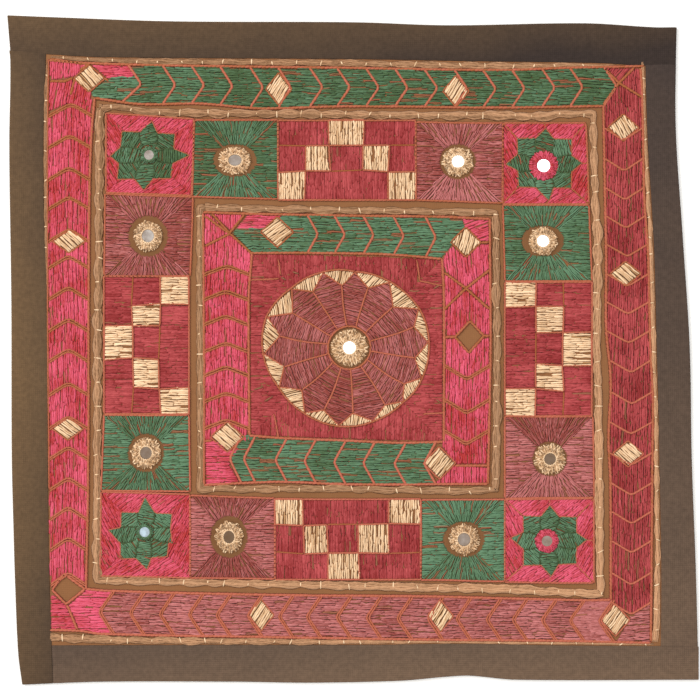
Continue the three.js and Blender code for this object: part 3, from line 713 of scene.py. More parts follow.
@dataclass
class BorderStrips:
    """Four folded strips of dark cotton with butted corners: the top one runs right across."""

    thickness: float = 1.6
    across: int = 10  # faces from the outer edge to the seam
    along: int = 132  # faces from end to end
    puckers: float = 0.16  # how high the seam draws the cloth into puckers
    slackness: float = 0.12  # how high it lies in slow waves along its middle
    # Both finishes run from the charcoal dye to a lighter brown that is painted light, with a warmer and a
    # cooler cast.
    warm: PlainWeave = PlainWeave("charcoal_cotton_warm_painted_light", "#332925", "#6a5238", mottle=0.3, grain=0.6)
    cool: PlainWeave = PlainWeave("charcoal_cotton_cool_painted_light", "#372e2c", "#6a5544", mottle=0.3, grain=0.6)
    # How light each strip is painted at its start, middle and end, from left to right or from the bottom up,
    # as painted uneven light.
    painted_light_levels: dict[str, tuple[float, float, float]] = field(default_factory=lambda: {
        "top": (0.5, 0.34, 0.0), "left": (0.45, 0.8, 0.42), "bottom": (0.6, 0.86, 0.94),
        "right": (0.85, 0.38, 0.14)})
    # What makes one strip's puckers unlike the next one's.
    seeds: dict[str, float] = field(default_factory=lambda: {
        "top": 0.0, "left": 1.7, "bottom": 3.1, "right": 4.6})

    def ends(self, side: str, u: float) -> tuple[Point, Point]:
        """The places on a strip's outer edge and on its seam.

        Args:
            side: Which side of the square it borders.
            u: The share of its length, from the left or from the bottom.

        Returns:
            The point on the outer edge and the point on the seam.
        """
        if side in STRIP_SPANS:
            outer, inner = (start + length * u for start, length in STRIP_SPANS[side])
        else:
            outer, inner = (foot + (curve(LINES["seam_top"], head) + TUCK - foot) * u
                            for foot, head in zip(*UPRIGHTS[side]))
        return on_line(f"edge_{side}", outer), on_line(f"seam_{side}", inner)

    def build(self, side: str) -> bpy.types.Object:
        """Shapes one strip, with the soft puckers that its seam draws in.

        Args:
            side: Which side of the square it borders.

        Returns:
            The strip.
        """
        piece, uv = cloth_grid(f"border_strip_{side}", self.across, self.along)
        seed = self.seeds[side]
        first, middle, last = self.painted_light_levels[side]
        spots, tones = [], []
        for v, u in uv:
            outer, seam = self.ends(side, u)
            x, y = mix(outer, seam, v)
            far = 400 * u
            pucker = self.puckers * math.sin(far * 0.52 + 2.5 * math.sin(far * 0.07 + seed) + seed) * v ** 2
            slack = self.slackness * math.sin(far * 0.045 + seed * 2) * math.sin(math.pi * v)
            spots.append((x, y, BORDER_TOP - 0.1 + pucker + slack))
            # Painted uneven light: lighter or darker along the strip as its table says and, on all but the
            # right strip, lighter towards the outer edge.
            lightened = first + (middle - first) * 2 * u if u < 0.5 else middle + (last - middle) * (2 * u - 1)
            tones.append(lightened + (0.0 if side == "right" else 0.3 * (0.5 - v)))
        shape_cloth(piece, np.array(spots), np.array(tones), self.thickness, 0.5)
        finished(piece, (self.warm if side in ("top", "left") else self.cool).material())
        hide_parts(f"border_{side}")
        return piece


@dataclass(frozen=True)
class MirrorPlace:
    """A mirror's place and sizes.

    The sizes are the half widths of its disc, its ring of stitches and the bare cloth. Its silver says how
    bright it is drawn, partly by tarnish and partly by a painted reflection.
    """

    x: float
    y: float
    disc: float
    ring: float
    halo: float
    silver: float
    thread: Colour = Colour.IVORY
    cold: float = 0.0  # how much painted blue sky reflection it shows
    squash: float = 1.0  # its height as a share of its width
    drawn: float = 0.0  # how far the bare cloth is drawn out to both sides

    @property
    def centre(self) -> Point:
        """Its middle."""
        return (self.x, self.y)

    def around(self, radius: float, degrees: float) -> Point:
        """The point at a radius and an angle, on its slightly flattened round."""
        return polar(self.x, self.y, radius, radius * self.squash, degrees)

    def bare_radius(self, turn: float) -> float:
        """How far the bare cloth reaches from its middle at an angle in radians."""
        drawn_out = self.halo * (1 + self.drawn * math.cos(2 * turn))
        return drawn_out * (1 - (1 - self.squash) * math.sin(turn) ** 2)


@dataclass
class SatinWork:
    """The filled fields: runs of floss side by side, one joined piece for each colour."""

    rng: np.random.Generator
    spacing: float = 1.15  # between runs
    shortest: float = 0.6  # a shorter run isn't worked
    bend: float = 3.6  # between the places where a run may bend
    wander: float = 0.2  # how far it strays aside at each
    unlike: float = 0.14  # how far one run's tone differs from the next one's
    skeins: dict[Colour, Skein] = field(default_factory=dict)

    def stitch(self, colour: Colour, ends: np.ndarray, tone: float, half: float = 0.64, rise: float = 0.8,
               flat: float = 0.0, mixed: float = 1.0) -> None:
        """Lays one run of floss between two points, whose ends go down into the cloth.

        Args:
            colour: Its floss.
            ends: Its two ends.
            tone: How light it is, from 0 to 1.
            half: Its half width.
            rise: Its height above the cloth.
            flat: From 0, painted shade in the gaps beside it, to 1, none.
            mixed: How likely it is to take the stray colour, against the floss's own likelihood.
        """
        rng = self.rng
        way = ends[1] - ends[0]
        length = float(np.hypot(*way))
        if length < self.shortest:
            return
        tip = min(0.22, 0.7 / length)
        inner = max(1, round(length / self.bend))
        shares = np.array([0, *np.linspace(tip, 1 - tip, inner + 1), 1])
        aside = np.array([-way[1], way[0]]) / length
        sway = rng.normal(0, self.wander, inner + 3) + rng.normal(0, 0.12) * min(1.0, length / 10)
        # No two runs start or end on quite the same line.
        slip = np.zeros(inner + 3)
        slip[[0, -1]] = rng.uniform(-0.6, 0.1), rng.uniform(-0.1, 0.6)
        path = ends[0] + way * (shares + slip / length)[:, None] + aside * sway[:, None]
        # The ends are narrower, and lower still, where the run goes down into the cloth.
        swell = rng.uniform(0.8, 1.12) * rng.uniform(0.9, 1.1, inner + 3)
        swell[[0, -1]] *= 0.45
        width = half * swell
        swell[[0, -1]] *= 0.55
        height = rise * swell
        stray = float(rng.random() < colour.value.strays * mixed) * rng.uniform(0.4, 1)
        if stray:
            width = width * 0.7
        foot = GROUND_TOP - 0.1 + rng.uniform(-0.12, 0.12)
        shade = float(np.clip(tone + rng.normal(0, self.unlike), 0, 1))
        self.skeins.setdefault(colour, Skein()).lay(path, width, foot, height, shade, stray, (flat, 1.0))

    def fill(self, colour: Colour, outline: Run, angle: float, tone: float = 0.5, holes: tuple[Run, ...] = (),
             spacing: float = 0.0, longest: float = LONGEST_RUN, rise: float = 0.8, flat: float = 0.0,
             missing: float = 0.0, half: float = 0.64, mixed: float = 1.0) -> None:
        """Fills a field with runs of floss.

        Args:
            colour: Its floss.
            outline: The field's outline.
            angle: Degrees from x to the runs.
            tone: How light the field is, from 0 to 1.
            holes: Outlines inside it that stay bare.
            spacing: Distance between runs, or 0 for the usual one.
            longest: The longest run; a longer one is worked in two or more.
            rise: Height above the cloth.
            flat: From 0, painted shade in the gaps between the runs, to 1, none.
            missing: The share of runs left out, where cloth shows.
            half: Half width of a run.
            mixed: How likely a run is to take the stray colour, against the floss's own likelihood.
        """
        for ends in hatch(outline, angle, spacing or self.spacing, self.rng, holes):
            length = float(np.hypot(*(ends[1] - ends[0])))
            parts = max(1, math.ceil(length / longest))
            cuts = [0.0, *((i + self.rng.uniform(-0.42, 0.42)) / parts for i in range(1, parts)), 1.0]
            for a, b in zip(cuts, cuts[1:]):
                if missing and self.rng.random() < missing:
                    continue
                part_ends = np.array([ends[0] + (ends[1] - ends[0]) * share for share in (a, b)])
                self.stitch(colour, part_ends, tone, half, rise, flat, mixed)

    def seam(self, colour: Colour, start: Point, end: Point) -> None:
        """Draws the dark line of painted shade between two fields, where the stitches of both go down into
        the cloth.

        Args:
            colour: The fields' floss.
            start: Where the line starts.
            end: Where it ends.
        """
        path = np.array([mix(start, end, share) for share in (0, 0.33, 0.67, 1)])
        path[1:3] += self.rng.normal(0, 0.25, (2, 2))
        half, rise = np.array([0.3, 0.46, 0.46, 0.3]), np.array([0.5, 1.0, 1.0, 0.5])
        self.skeins[colour].lay(path, half, GROUND_TOP, rise, 0.0, crown=(0.0, 0.1))

    def fan(self, colour: Colour, side: tuple[Point, Point], mirror: MirrorPlace, tone: float,
            flat: float) -> None:
        """Fills the wedge between one side of a square and its mirror, with runs that meet round the mirror.

        Args:
            colour: Its floss.
            side: The two corners, counter-clockwise.
            mirror: The mirror.
            tone: How light the wedge is, from 0 to 1.
            flat: From 0, painted shade in the gaps between the runs, to 1, none.
        """
        centre = mirror.centre
        angles = [math.atan2(p[1] - centre[1], p[0] - centre[0]) for p in side]
        if angles[1] < angles[0]:
            angles[1] += 2 * math.pi
        count = round((angles[1] - angles[0]) / math.radians(1.9))
        across = (side[1][0] - side[0][0], side[1][1] - side[0][1])
        away = (side[0][0] - centre[0]) * across[1] - (side[0][1] - centre[1]) * across[0]
        for i in range(count):
            turn = angles[0] + (angles[1] - angles[0]) * (i + 0.5 + self.rng.uniform(-0.3, 0.3)) / count
            way = (math.cos(turn), math.sin(turn))
            far = away / (way[0] * across[1] - way[1] * across[0])
            # Every other run stops short of the mirror, where there is no room for all of them.
            short = (0.0, self.rng.uniform(2.0, 5.0), 0.0, self.rng.uniform(6.0, 11.0))[i % 4]
            reach = mirror.bare_radius(turn) + short
            cuts = [reach, far]
            if far - reach >= LONGEST_RUN:
                cuts.insert(1, reach + (far - reach) * self.rng.uniform(0.35, 0.65))
            for near, out in zip(cuts, cuts[1:]):
                ends = np.array([[centre[0] + way[0] * r, centre[1] + way[1] * r] for r in (out, near)])
                self.stitch(colour, ends, tone, 0.46, flat=flat)

    def build(self) -> list[bpy.types.Object]:
        """Makes one piece for each colour."""
        return [skein.piece(f"satin_{colour.name.lower()}", colour.value.material(), "satin_floss")
                for colour, skein in self.skeins.items()]


@dataclass
class OutlineWork:
    """Stem stitch in rust floss round every field: short slanting stitches that overlap like rope."""

    rng: np.random.Generator
    length: float = 4.4  # of a stitch
    pitch: float = 2.5  # from one stitch to the next
    step: float = 0.5  # between the points that a line is read at
    skeins: dict[str, Skein] = field(default_factory=dict)

    def follow(self, group: str, points: Run, tone: float, half: float = 0.8, foot: float = 1.35,
               rise: float = 0.95) -> None:
        """Works a line of stem stitch.

        Args:
            group: The joined piece that it goes into.
            points: The line.
            tone: Its colour, from 0, brown orange, to 1, salmon.
            half: Half width of a stitch.
            foot: Height of the stitches' underside.
            rise: Their height above that.
        """
        line = spread(points, self.step)
        drift = np.cumsum(self.rng.normal(0, 0.045, line.shape), 0)
        line = line + drift * np.linspace(0, 1, len(line))[:, None] * np.linspace(1, 0, len(line))[:, None]
        count = max(1, round((len(line) - 1) * self.step / self.pitch))
        skein = self.skeins.setdefault(group, Skein())
        # The lower side is drawn paler.
        tone += 0.35 * float(np.clip(-line[:, 1].mean() / 150, -0.4, 1))
        for i in range(count):
            start = int(i * self.pitch / self.step)
            stop = min(len(line) - 1, start + int(self.length / self.step))
            if stop - start < 2:
                continue
            path = line[np.linspace(start, stop, 4).astype(int)]
            way = path[-1] - path[0]
            if np.hypot(*way) < 0.4 or (np.hypot(*np.diff(path, axis=0).T) < 0.05).any():
                continue
            aside = np.array([-way[1], way[0]]) / np.hypot(*way)
            path = path + aside * np.linspace(-0.26, 0.26, 4)[:, None]
            width = half * self.rng.uniform(0.9, 1.1) * np.array([0.5, 1, 1, 0.5])
            height = rise * np.array([0.55, 1, 1, 0.55])
            skein.lay(path, width, foot, height, float(np.clip(tone + self.rng.normal(0, 0.1), 0, 1)))

    def close(self, group: str, outline: Run, tone: float, **sizes: float) -> None:
        """Works stem stitch all round an outline."""
        self.follow(group, [*outline, outline[0]], tone, **sizes)

    def build(self) -> list[bpy.types.Object]:
        """Makes one piece for each group."""
        finish = Colour.RUST.value.material()
        return [skein.piece(f"stem_stitch_{group}", finish, "satin_floss")
                for group, skein in self.skeins.items()]


@dataclass(frozen=True)
class Band:
    """A frame's side filled with chevrons.

    The tips say where the chevrons are, points says which way they point along the side, and trail is how far
    their arms trail behind.
    """

    side: str
    stem: str
    floss: Colour
    points: int
    trail: float
    tone: float
    tips: tuple[float, ...]
    odd: dict[float, tuple[float, float]] = field(default_factory=dict)  # the trails of two arms that differ

    def chevron(self, tip: float) -> Run:
        """The two arms and the tip of one chevron.

        Args:
            tip: Where its tip is along the side.

        Returns:
            The end of one arm, the tip, and the end of the other arm.
        """
        a, b = f"{self.stem}_a_{self.side}", f"{self.stem}_b_{self.side}"
        trails = self.odd.get(tip, (self.trail, self.trail))
        middle = (curve(LINES[a], tip) + curve(LINES[b], tip)) / 2
        return [on_line(a, tip - self.points * trails[0]), place(a, tip, middle),
                on_line(b, tip - self.points * trails[1])]


BANDS = [
    Band("top", "outer", Colour.GREEN, 1, 7.8, 0.2,
         (-126.9, -106.5, -89.1, -72, -54, -37.2, -18.2, -1.8, 15.6, 33, 50.7, 68.7, 85.8, 103.2, 121.2,
          138, 158.4), {-126.9: (8.1, 11.7)}),
    Band("right", "outer", Colour.CRIMSON, -1, 7.5, 0.5,
         (126, 107.6, 90.1, 73.2, 56.1, 38.4, 21.6, 4.2, -13.5, -32.4, -50.4, -69, -87, -104.1, -121.8,
          -140.9, -158.8)),
    Band("bottom", "outer", Colour.MAUVE, -1, 8.6, 0.55,
         (-152.1, -133.8, -115.8, -98.4, -81.8, -63, -44.4, -27.6, -9.6, 8.4, 26.8, 45.3, 62.2, 80.3, 95.9,
          113.4, 130.2, 147.9)),
    Band("left", "outer", Colour.PINK, 1, 7.5, 0.5,
         (147.6, 128.7, 109.4, 91.9, 72.3, 56.4, 37.6, 18.6, 0.4, -19.8, -39.9, -58.2, -76.8, -94.5, -112.8,
          -133.8)),
    Band("top", "core", Colour.GREEN, 1, 6.3, 0.5, (-21, -4.8, 12.6, 30.6, 49.8)),
    Band("right", "core", Colour.PINK, -1, 8.1, 0.45, (-17.4, -37.8, -56.4)),
    Band("bottom", "core", Colour.GREEN, -1, 7.2, 0.5, (-74.1, -65.7, -46.8, -29.4, -11.4, 6, 24.6, 42.6)),
    Band("left", "core", Colour.PINK, 1, 5.4, 0.45, (50.4, 35.4, 20.4, 4.2, -10.2, -25.8, -42)),
]

# Fields at the bands' corners, which have no regular shape: floss, direction, tone, and the outline as x, y.
CORNERS: list[tuple[Colour, float, float, list[float]]] = [
    (Colour.PINK, 88, 0.6, [-181.8, 174, -159, 171.6, -166.8, 164.4, -181.8, 162]),
    (Colour.PINK, 80, 0.35,
     [-181.8, 160.8, -166.8, 163.2, -156.6, 154.8, -158.2, 140.4, -171.6, 147.9, -182.4, 143.4]),
    (Colour.PINK, -3, 0.5, [-157, 171.6, -133.2, 171.3, -129.6, 164.2, -147.6, 163.2]),
    (Colour.GREEN, 2, 0.5,
     [-147.6, 163, -129.6, 164, -127.2, 159.6, -137.4, 150.4, -156.4, 151.8, -157.2, 154.8]),
    (Colour.CRIMSON, 50, 0.45, [151.8, 169.3, 168.2, 169.3, 159.6, 160.8]),
    (Colour.CRIMSON, 95, 0.5, [169.4, 169.3, 172.2, 168.6, 173.4, 152.4, 160.8, 160.2]),
    (Colour.CRIMSON, 92, 0.45,
     [150.8, 147.2, 159.6, 159.2, 173.4, 151.2, 174.3, 133.6, 163.2, 126, 151.6, 133.6]),
    (Colour.PINK, 2, 0.6, [-181.2, -146.4, -172.2, -153.6, -165.6, -168, -181.2, -167.7]),
    (Colour.PINK, 0, 0.75,
     [-160.2, -144, -143.4, -144.9, -152.1, -157.8, -143.4, -170.7, -163.8, -168.6, -171, -153.6]),
    (Colour.MAUVE, 4, 0.6, [166.8, -160.2, 178.6, -151.8, 178.4, -174.9, 158.4, -174.6]),
    (Colour.MAUVE, 0, 0.6, [139, -150.4, 156, -151, 148.4, -162, 157, -174.6, 138.4, -174.6, 130.2, -162.6]),
    (Colour.PINK, 92, 0.5, [-84, 81.6, -64.8, 81.6, -73.2, 71.4]),
    (Colour.PINK, 90, 0.6, [-88.8, 81.6, -86.4, 81.6, -74, 70.2, -88.8, 63]),
    (Colour.PINK, 88, 0.55, [-89.4, 61.8, -73.8, 69.6, -61.2, 58.2, -62.6, 45, -74.4, 50.7, -89.4, 46.8]),
    (Colour.PINK, 0, 0.5, [-63, 81.6, -42.2, 81.2, -53.4, 73.2, -69.6, 72.9]),
    (Colour.GREEN, 0, 0.5,
     [-42.2, 81.2, -27.3, 81, -21, 69.4, -27.3, 58.4, -60, 58.4, -72, 70, -69.6, 72.9, -53.4, 73.2]),
    (Colour.PINK, 20, 0.75, [66, 78.6, 81.6, 77.7, 81.6, 65.4, 76.2, 65.4, 67.2, 73.8]),
    (Colour.GREEN, 0, 0.5, [44.3, 80, 65.2, 79.4, 67.4, 73, 60.2, 64.2, 52.8, 55.2, 44.3, 56, 49.8, 68.2]),
    (Colour.PINK, 95, 0.65,
     [54, 54.6, 59.4, 62.4, 67.2, 55.8, 76.2, 63.6, 81.6, 63.6, 81.6, 48.6, 67.8, 37.8, 55.2, 47.4]),
    (Colour.PINK, 92, 0.6, [55.2, 45.6, 66.6, 37.2, 55.2, 25.2]),
    (Colour.PINK, 88, 0.6, [81.6, 46.8, 69, 37.2, 81.6, 25.8]),
    (Colour.PINK, 90, 0.45,
     [67.8, 36, 81.6, 24, 81.6, 9.3, 78.6, 9.3, 70.2, 17.4, 61.8, 8.4, 55.8, 8.4, 55.2, 24]),
    (Colour.PINK, 90, 0.7,
     [55.8, 6.9, 61.8, 6.9, 69.6, -1.2, 78.6, 7.2, 81.6, 7.2, 81.6, -9.6, 69, -16.8, 55.8, -12]),
    (Colour.PINK, 92, 0.3, [54.6, -48.6, 67.8, -57.6, 81, -48, 81, -68.4, 61.2, -68.4, 54, -58.2]),
    (Colour.PINK, 90, 0.55, [60.6, -69, 80.4, -70.5, 80.4, -80.1, 50.4, -80.4, 52.4, -75.6]),
    (Colour.PINK, 0, 0.5,
     [-88.8, -54.8, -84.6, -54.6, -75.3, -56, -68.4, -58.6, -74.4, -69, -67.6, -80.4, -88.2, -80.4]),
    (Colour.PINK, 88, 0.5,
     [-88.8, -47.4, -75.3, -42, -62.6, -47.4, -62.6, -54.6, -75.3, -54.6, -88.8, -54.2]),
]

# Lines of stem stitch at the bands' corners, beyond the chevrons: colour from brown orange to salmon, and
# the run.
CORNER_LINES: list[tuple[float, list[float]]] = [
    (0.2, [-181.8, 161.4, -173, 161.2, -167.8, 163.4]), (0.4, [-181.8, 174.6, -158.4, 171.4, -164, 168]),
    (0.3, [-166.8, 163, -169.6, 153]), (0.3, [-149, 163.4, -146.8, 161]),
    (0.3, [150.6, 169.4, 159.6, 160.2, 173.4, 151.8]), (0.4, [168.8, 169.4, 159.6, 160.2, 150.2, 147.2]),
    (0.5, [-180.6, -144, -173.4, -134.4, -160.8, -143.4, -172.2, -152.4, -180.6, -144]),
    (0.3, [-171.6, -153, -169, -159, -165.4, -168]),
    (0.3, [-88.8, 80.4, -74.4, 69.9, -65, 81.6]), (0.3, [-84.4, 81.6, -73.8, 69.9, -88.8, 62.4]),
    (0.3, [-73.8, 69.9, -61.2, 58.2]), (0.3, [81.6, 64.6, 77, 64.6]),
    (0.3, [54.8, 46.4, 67.8, 37, 82, 48]), (0.3, [54.8, 24.4, 67.8, 37, 82, 24.4]),
    (0.4, [55.2, 7.8, 61.2, 7.8, 70.2, 17.4, 78.6, 8.4, 82, 8.4]), (0.4, [61.2, 7.8, 69.6, -1.8, 78.6, 8.4]),
    (0.4, [61.2, -69.4, 81.4, -69.4]), (0.4, [-89.2, -54.6, -84.6, -54.6]),
]

# Where the stem stitch along the frames' lines starts and ends.
FRAME_LINES: dict[str, tuple[float, float]] = {
    "outer_a_top": (-182.4, 174.6), "outer_a_right": (-175.2, 169.2), "outer_a_bottom": (-181.8, 178.8),
    "outer_a_left": (-84, 174.6), "outer_b_top": (-154.8, 150.6), "outer_b_right": (-150, 147),
    "outer_b_bottom": (-160.2, 154.8), "outer_b_left": (-144, 151.2), "core_a_top": (-90, 82.2),
    "core_a_right": (-80.4, 78.6), "core_a_bottom": (-89.4, 81), "core_a_left": (-81, 82.2),
    "core_b_top": (-62.4, 53.4), "core_b_right": (-55, 55), "core_b_bottom": (-62.4, 54),
    "core_b_left": (-51.6, 58.2),
}

# Lozenges of ivory satin: x, y, half width, half height, direction of the floss, and the side that a chevron
# goes round.
LOZENGES = [
    (-158.4, 162.9, 8.7, 7.5, -48, "right"), (-44.5, 156.6, 7.2, 9, 58, "right"),
    (61.8, 155.4, 7.2, 8.7, 58, "right"), (162.3, 133.5, 8.7, 7.5, -62, "bottom"),
    (163.7, 45.8, 8.7, 6.9, -40, "bottom"), (165.2, -62.2, 8.7, 7.2, -42, "bottom"),
    (-55.2, -159, 7.2, 9, 58, "left"), (52.5, -159.6, 7.2, 9, 58, "left"),
    (157.4, -162, 8.1, 9, 55, "left"), (-170.4, 65.4, 9.3, 6.6, -42, "top"),
    (-171, -47.1, 9, 6.6, -36, "top"), (-45.6, 70.8, 9, 8.4, 36, "right"),
    (67.8, 64.8, 8.4, 8.4, 75, "left"), (-75.3, -52.2, 9.6, 8.4, -42, "top"),
    (51.9, -67.8, 9, 9, 52, "left"),
]

# Blocks of checks: where the columns and the rows end, the ivory tiles as column, row, and the direction of
# the floss.
CHECKS = [
    ([-45, -28.8, -13.8, 6.6, 21.6, 37.8], [138, 123, 107.4, 90],
     {(2, 0), (1, 1), (3, 1), (0, 2), (4, 2)}, 90),
    ([-149.4, -132.6, -115.8, -98.4], [44.4, 27, 13.8, -5.4, -22.8, -38.4],
     {(0, 2), (1, 1), (1, 3), (2, 0), (2, 4)}, 0),
    ([91.2, 109.8, 126, 143.4], [40.8, 26.1, 10.2, -9, -24, -39.6],
     {(2, 2), (1, 1), (1, 3), (0, 0), (0, 4)}, 0),
    ([-46.8, -29.4, -15, 3.6, 21, 40.8], [-89.4, -104.8, -121.6, -137.8],
     {(0, 0), (4, 0), (1, 1), (3, 1), (2, 2)}, 90),
]


@dataclass(frozen=True)
class Square:
    """A square of the ring round the core.

    Its corners go clockwise from the top left. Its tones are those of its four wedges, clockwise from the
    top, which are painted sheen, lighter or darker by the way each wedge's floss lies, or of a star's ground
    and petals. A star also has tips.
    """

    floss: Colour
    mirror: MirrorPlace
    corners: list[float]
    tones: tuple[float, ...]
    tips: tuple[float, ...] = ()


# A star's tips go clockwise from the top one.
SQUARES = [
    Square(Colour.PINK, MirrorPlace(-122.4, 117, 3.0, 5.4, 5.6, 0.11, Colour.GREEN),
           [-148.2, 142.2, -95.4, 138.6, -96.6, 92.7, -148.2, 94.5], (0.3, 0.22),
           (-120.6, 137.4, -106.8, 129.6, -97.8, 117, -109.2, 103.2,
            -125.4, 96, -141.6, 102.6, -145.8, 116.4, -138.6, 131.4)),
    Square(Colour.GREEN, MirrorPlace(-70.8, 113.8, 4.2, 10.4, 12.2, 0.08, squash=0.86, drawn=0.07),
           [-95.1, 138, -45, 138, -45, 90.6, -96.9, 92.1], (0.36, 0.15, 0.5, 0.1)),
    Square(Colour.MAUVE, MirrorPlace(63, 113.1, 4.0, 9.7, 11.0, 0.8, squash=0.96),
           [37.8, 136.8, 90, 136.2, 90, 88.2, 37.8, 90], (0.5, 0.28, 0.68, 0.13)),
    Square(Colour.PINK, MirrorPlace(114.4, 110.6, 3.9, 9.2, 9.0, 1.0, Colour.PINK),
           [90, 136.2, 139.8, 136.2, 141.6, 87.6, 89.7, 87.6], (0.45, 0.42),
           (115.8, 133.2, 131.4, 126.6, 137.4, 112.2, 130.8, 97.2,
            117.6, 89.4, 99, 97.8, 91.2, 111.6, 98.4, 127.2)),
    Square(Colour.MAUVE, MirrorPlace(-123, 68.4, 3.9, 9.2, 11.8, 0.12, squash=1.04),
           [-148.8, 93.6, -96, 91.8, -97.8, 44.4, -149.4, 44.4], (0.3, 0.1, 0.36, 0.3)),
    Square(Colour.GREEN, MirrorPlace(-124.2, -61.8, 3.7, 9.5, 10.9, 0.035, squash=1.06),
           [-149.4, -39, -98.4, -39, -97.8, -84.9, -151.2, -84.3], (0.5, 0.75, 0.48, 0.62)),
    Square(Colour.PINK, MirrorPlace(-125, -109.2, 3.1, 5.4, 5.6, 0.3, Colour.GREEN, 0.9),
           [-151.2, -85.2, -97.8, -86.7, -97.8, -136.8, -151.8, -135.6], (0.45, 0.52),
           (-124.8, -88.2, -108.6, -98.4, -108.6, -115.8, -111.6, -124.2,
            -123.6, -132, -139.8, -125.4, -147, -108, -139.2, -97.2)),
    Square(Colour.MAUVE, MirrorPlace(-74.4, -112.2, 3.5, 8.6, 11.2, 0.012, squash=1.12),
           [-97.8, -87.3, -46.8, -89.1, -46.8, -137.4, -97.8, -136.8], (0.25, 0.45, 0.1, 0.53)),
    Square(Colour.GREEN, MirrorPlace(66.6, -113.7, 4.0, 9.4, 11.4, 0.06, squash=1.04, drawn=0.1),
           [40.8, -90, 91.2, -89.7, 91.2, -138.9, 40.8, -138], (0.66, 0.8, 0.5, 0.8)),
    Square(Colour.PINK, MirrorPlace(116.4, -114.6, 3.3, 7.4, 7.2, 0.055, Colour.PINK),
           [91.2, -89.7, 144.6, -89.1, 144.6, -139.8, 91.2, -139.2], (0.55, 0.62),
           (118.2, -93, 134.4, -100.2, 140.4, -114, 133.8, -128.4,
            118.8, -136.2, 102, -129.6, 94.2, -112.8, 102, -99.6)),
    Square(Colour.GREEN, MirrorPlace(114, 65.4, 3.9, 9.3, 11.2, 0.8, squash=0.96, drawn=0.15),
           [90, 87, 141.6, 87, 143.4, 41.4, 91.2, 41.4], (0.57, 0.4, 0.62, 0.36)),
    Square(Colour.MAUVE, MirrorPlace(118.2, -65.4, 3.7, 9.6, 10.4, 0.02),
           [91.2, -39.9, 144, -39.9, 144.6, -88.5, 91.2, -89.1], (0.1, 0.6, 0.63, 0.56)),
]
ROSETTE_MIRROR = MirrorPlace(-2.2, 1.4, 4.0, 11.7, 13.2, 1.0)

# How smooth the bands of each floss are, from 0, painted shade in the gaps between the runs, to 1, none.
SMOOTH = {Colour.GREEN: 0.3, Colour.PINK: 0.78, Colour.CRIMSON: 0.25, Colour.MAUVE: 0.35}


def line_colour(floss: Colour) -> float:
    """The colour of the stem stitch over a floss, from brown orange to salmon."""
    return {Colour.GREEN: 0.95, Colour.PINK: 0.4, Colour.CRIMSON: 0.8, Colour.MAUVE: 0.4}.get(floss, 0.5)


@dataclass
class Bands:
    """The two frames of chevrons, with their lozenges."""

    satin: SatinWork
    outlines: OutlineWork
    nearby: float = 45.0  # a lozenge further off doesn't meet a field

    def cells(self, band: Band) -> None:
        """Fills the cells between a band's chevrons and works the chevrons.

        Args:
            band: The band.
        """
        rng = self.satin.rng
        group = "outer" if band.stem == "outer" else "inner"
        lines = [band.chevron(tip) for tip in band.tips]
        angle = 0.0 if along_x(band.side) else 90.0
        for start, end in zip(lines, lines[1:]):
            outline = [start[0], end[0], end[1], end[2], start[2], start[1]]
            lean = angle + rng.uniform(-2.5, 2.5)
            tone = float(np.clip(band.tone + rng.normal(0, 0.08), 0.05, 0.9))
            self.fill(band.floss, outline, lean, tone)
        soft = 0.5 if band.side == "left" else 0.7
        for line in lines:
            a, tip, b = line
            bent = rounded([a, mix(a, tip, soft), tip, mix(b, tip, soft), b], 2)
            if band.floss in (Colour.PINK, Colour.MAUVE):
                # Worked twice, as two lines with brown between them.
                step = (0.7, 0) if along_x(band.side) else (0, 0.7)
                for k in (-1, 1):
                    line_beside = [(x + k * step[0], y + k * step[1]) for x, y in bent]
                    self.outlines.follow(group, line_beside, line_colour(band.floss), half=0.6)
            else:
                half = 0.8 if band.floss is Colour.GREEN else 0.7
                self.outlines.follow(group, bent, line_colour(band.floss), half=half)

    def fill(self, floss: Colour, outline: Run, angle: float, tone: float) -> None:
        """Fills a field of a frame, apart from any lozenge in it.

        Args:
            floss: Its floss.
            outline: The field's outline.
            angle: Degrees from x to the runs.
            tone: How light it is, from 0 to 1.
        """
        near = [row[:4] for row in LOZENGES if math.dist(row[:2], outline[0]) < self.nearby]
        holes = tuple([(x - w, y), (x, y - h), (x + w, y), (x, y + h)] for x, y, w, h in near)
        self.satin.fill(floss, outline, angle, tone, holes, flat=SMOOTH[floss])

    def lozenge(self, x: float, y: float, w: float, h: float, angle: float, lead: str) -> None:
        """Fills one ivory lozenge and outlines it.

        Args:
            x: Its middle along x.
            y: Its middle along y.
            w: Half its width.
            h: Half its height.
            angle: Direction of its floss.
            lead: Not used.
        """
        points = {"left": (x - w, y), "bottom": (x, y - h), "right": (x + w, y), "top": (x, y + h)}
        self.satin.fill(Colour.IVORY, list(points.values()), angle, 0.55, spacing=1.15, rise=1.25,
                        longest=30.0,
                        flat=0.25, half=0.64)
        group = "outer" if max(abs(x), abs(y)) > 120 else "inner"
        grown = {key: (x + (px - x) * 1.1, y + (py - y) * 1.1) for key, (px, py) in points.items()}
        self.outlines.close(group, list(grown.values()), 0.4, half=0.5, foot=1.4, rise=0.8)

    def build(self) -> None:
        """Works both frames."""
        for band in BANDS:
            self.cells(band)
        for floss, angle, tone, flat in CORNERS:
            self.fill(floss, pairs(flat), angle, tone)
        for tone, flat in CORNER_LINES:
            self.outlines.follow("outer" if abs(flat[0]) > 120 else "inner", pairs(flat), tone)
        for row in LOZENGES:
            self.lozenge(*row)
        for name, ends in FRAME_LINES.items():
            group = "outer" if name.startswith("outer") else "inner"
            self.outlines.follow(group, run(name, *ends), 0.6, half=0.5 if name == "outer_a_left" else 0.8)


